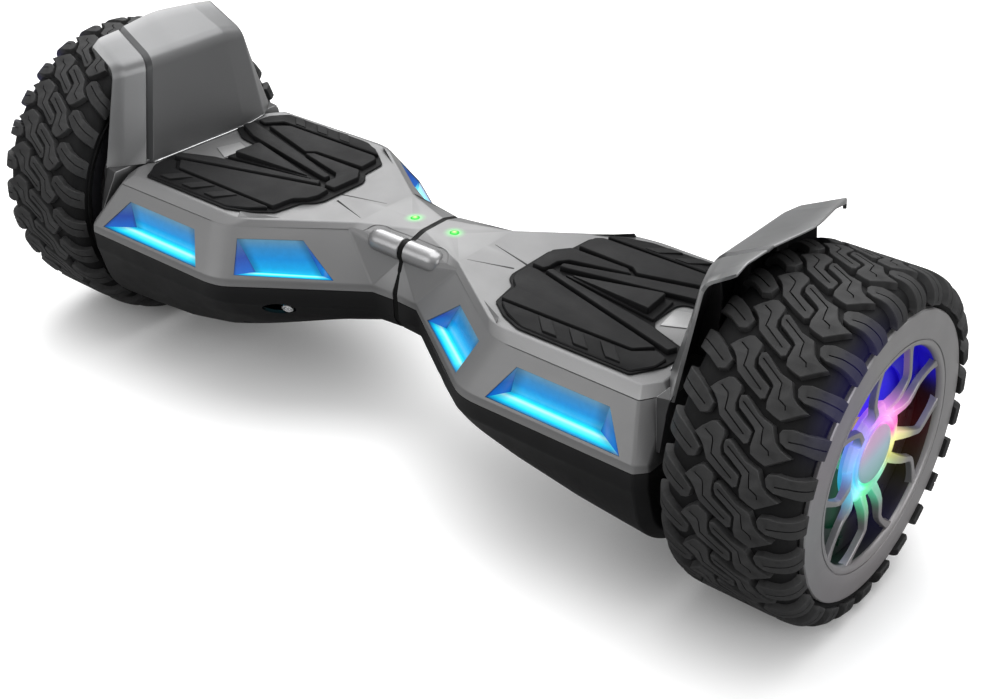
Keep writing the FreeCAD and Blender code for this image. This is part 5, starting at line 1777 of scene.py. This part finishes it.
# Parts that are not listed are dark plastic.
PART_MATERIALS = dict(
    front_lenses=LENS, rear_lenses=LENS, led_strips=BOARD, indicator=STATUS_GREEN,
    chassis_frame=ALUMINIUM, axle=STEEL, stator=LAMINATIONS, axle_clamp=ALUMINIUM,
    clamp_screws=STEEL, pad_switch_board=BOARD, gyro_board=BOARD, shell_screws=BLACK_OXIDE,
    tyre=TYRE_RUBBER, wheel_rim=ALUMINIUM, wheel_cover=COVER, hub_cap=HUB,
    motor_cover=ALUMINIUM, wheel_bearings=STEEL, light_ring=INNER, foot_pad=PAD_FLANK,
    pivot_tube=STEEL, pivot_circlip=BLACK_OXIDE, centre_seal=SEAL_RUBBER,
    battery_pack=BATTERY_WRAP, harness=CABLE, charge_cap=CAP_RUBBER, power_button=BUTTON,
    main_board=BOARD, upper_shell=SHELL_PAINT, lower_shell=LOWER_PLASTIC, fender=FENDER_PAINT)
for name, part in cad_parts.items():
    kind = name.replace("_left", "").replace("_right", "")
    material = PART_MATERIALS.get(kind, DARK)
    if not part.data.materials:
        part.data.materials.append(material)
    for slot in part.material_slots:
        slot.material = material


# ------------------------------------------------------------------ floor
def floor_material():
    """Pale and self-lit for the camera, darker for the light it bounces; the glow dims near the
    object as a painted contact shadow.
    """
    shader = new_surface("floor_pale")
    seen = shader.camera_ray()
    pale = shader.mix(shader.mottle(scale=3, detail=2), (.82, .82, .82), (.84, .84, .84))
    # painted contact shadow: occlusion dims the floor's glow where the object stands close over it
    painted_shadow_factor = shader.math("POWER", shader.occlusion(samples=8, distance=.09), 1.3)
    shader.set(base_color=shader.mix(seen, (.34, .34, .34), pale), emission_color=(1, 1, 1),
               emission_strength=shader.product(seen, painted_shadow_factor, .60),
               roughness=.7, specular=.15)
    return shader.material


FLOOR_HALF = 9000
ground = mesh_object("floor", [(-FLOOR_HALF, -FLOOR_HALF, 0), (FLOOR_HALF, -FLOOR_HALF, 0),
                               (FLOOR_HALF, FLOOR_HALF, 0), (-FLOOR_HALF, FLOOR_HALF, 0)],
                     [[0, 1, 2, 3]])
ground.location.z = -.0002
set_materials(ground, floor_material())


# ------------------------------------------------------------------ world
def studio_world():
    """White to the camera; a grey sky, brighter overhead, lights the scene."""
    world = bpy.data.worlds.new("studio")
    scene.world = world
    world.use_nodes = True
    world.node_tree.nodes.clear()
    nodes = Nodes(world.node_tree)
    direction = nodes.add("TexCoord").outputs["Generated"]
    z = nodes.add("SeparateXYZ", {0: direction}).outputs[2]
    sky = nodes.ramp(nodes.remap(z, span=(-1, 1)), [
        (0.0, (.35, .35, .35)), (.5, (.30, .30, .30)), (.62, (.42, .42, .42)),
        (.8, (.62, .62, .62)), (1.0, (.84, .84, .84))])
    lighting = nodes.add("Background", {"Color": sky, "Strength": .75})
    backdrop = nodes.add("Background", {"Color": (1, 1, 1), "Strength": 1.0})
    shown = nodes.add("MixShader", {0: nodes.camera_ray(), 1: lighting.outputs[0],
                                    2: backdrop.outputs[0]})
    nodes.add("OutputWorld", {0: shown.outputs[0]})


studio_world()


# ------------------------------------------------------------------ lights and camera
def area_light(name, location, size, power, target=(0, 0, .1)):
    light = bpy.data.lights.new(name, "AREA")
    light.shape = "RECTANGLE"
    light.size = light.size_y = size
    light.energy = power
    lamp = bpy.data.objects.new(name, light)
    scene.collection.objects.link(lamp)
    lamp.location = location
    lamp.rotation_mode = "QUATERNION"
    lamp.rotation_quaternion = (Vector(target) - Vector(location)).to_track_quat("-Z", "Y")


area_light("top_soft", (-.2, .5, 2.3), size=2.6, power=43)
area_light("back_left", (-1.6, 1.4, 1.5), size=1.2, power=14)
area_light("front_fill", (-1.2, -2.0, 1.1), size=1.4, power=9)
area_light("right_fill", (2.2, -.4, .9), size=1.2, power=10, target=(.25, 0, .1))

camera = bpy.data.cameras.new("camera")
camera_object = bpy.data.objects.new("camera", camera)
scene.collection.objects.link(camera_object)
camera.sensor_fit = "HORIZONTAL"
camera.sensor_width = 36.0
camera.lens = 58.77
camera.clip_start = .01
camera.clip_end = 60
# the camera's own axes in the scene, and where it stands
camera_right = (0.77213637, 0.63544709, -0.00352458)
camera_up = (-0.32757736, 0.40278215, 0.8546693)
camera_back = (0.54451676, -0.65876668, 0.51916083)
camera_place = (.6391, -.7138, .6319)
camera_object.matrix_world = Matrix((
    *zip(camera_right, camera_up, camera_back, camera_place), (0, 0, 0, 1)))
scene.camera = camera_object

scene.view_settings.view_transform = "Standard"
scene.view_settings.look = "None"
scene.view_settings.exposure = 0.0
scene.view_settings.gamma = 1.0
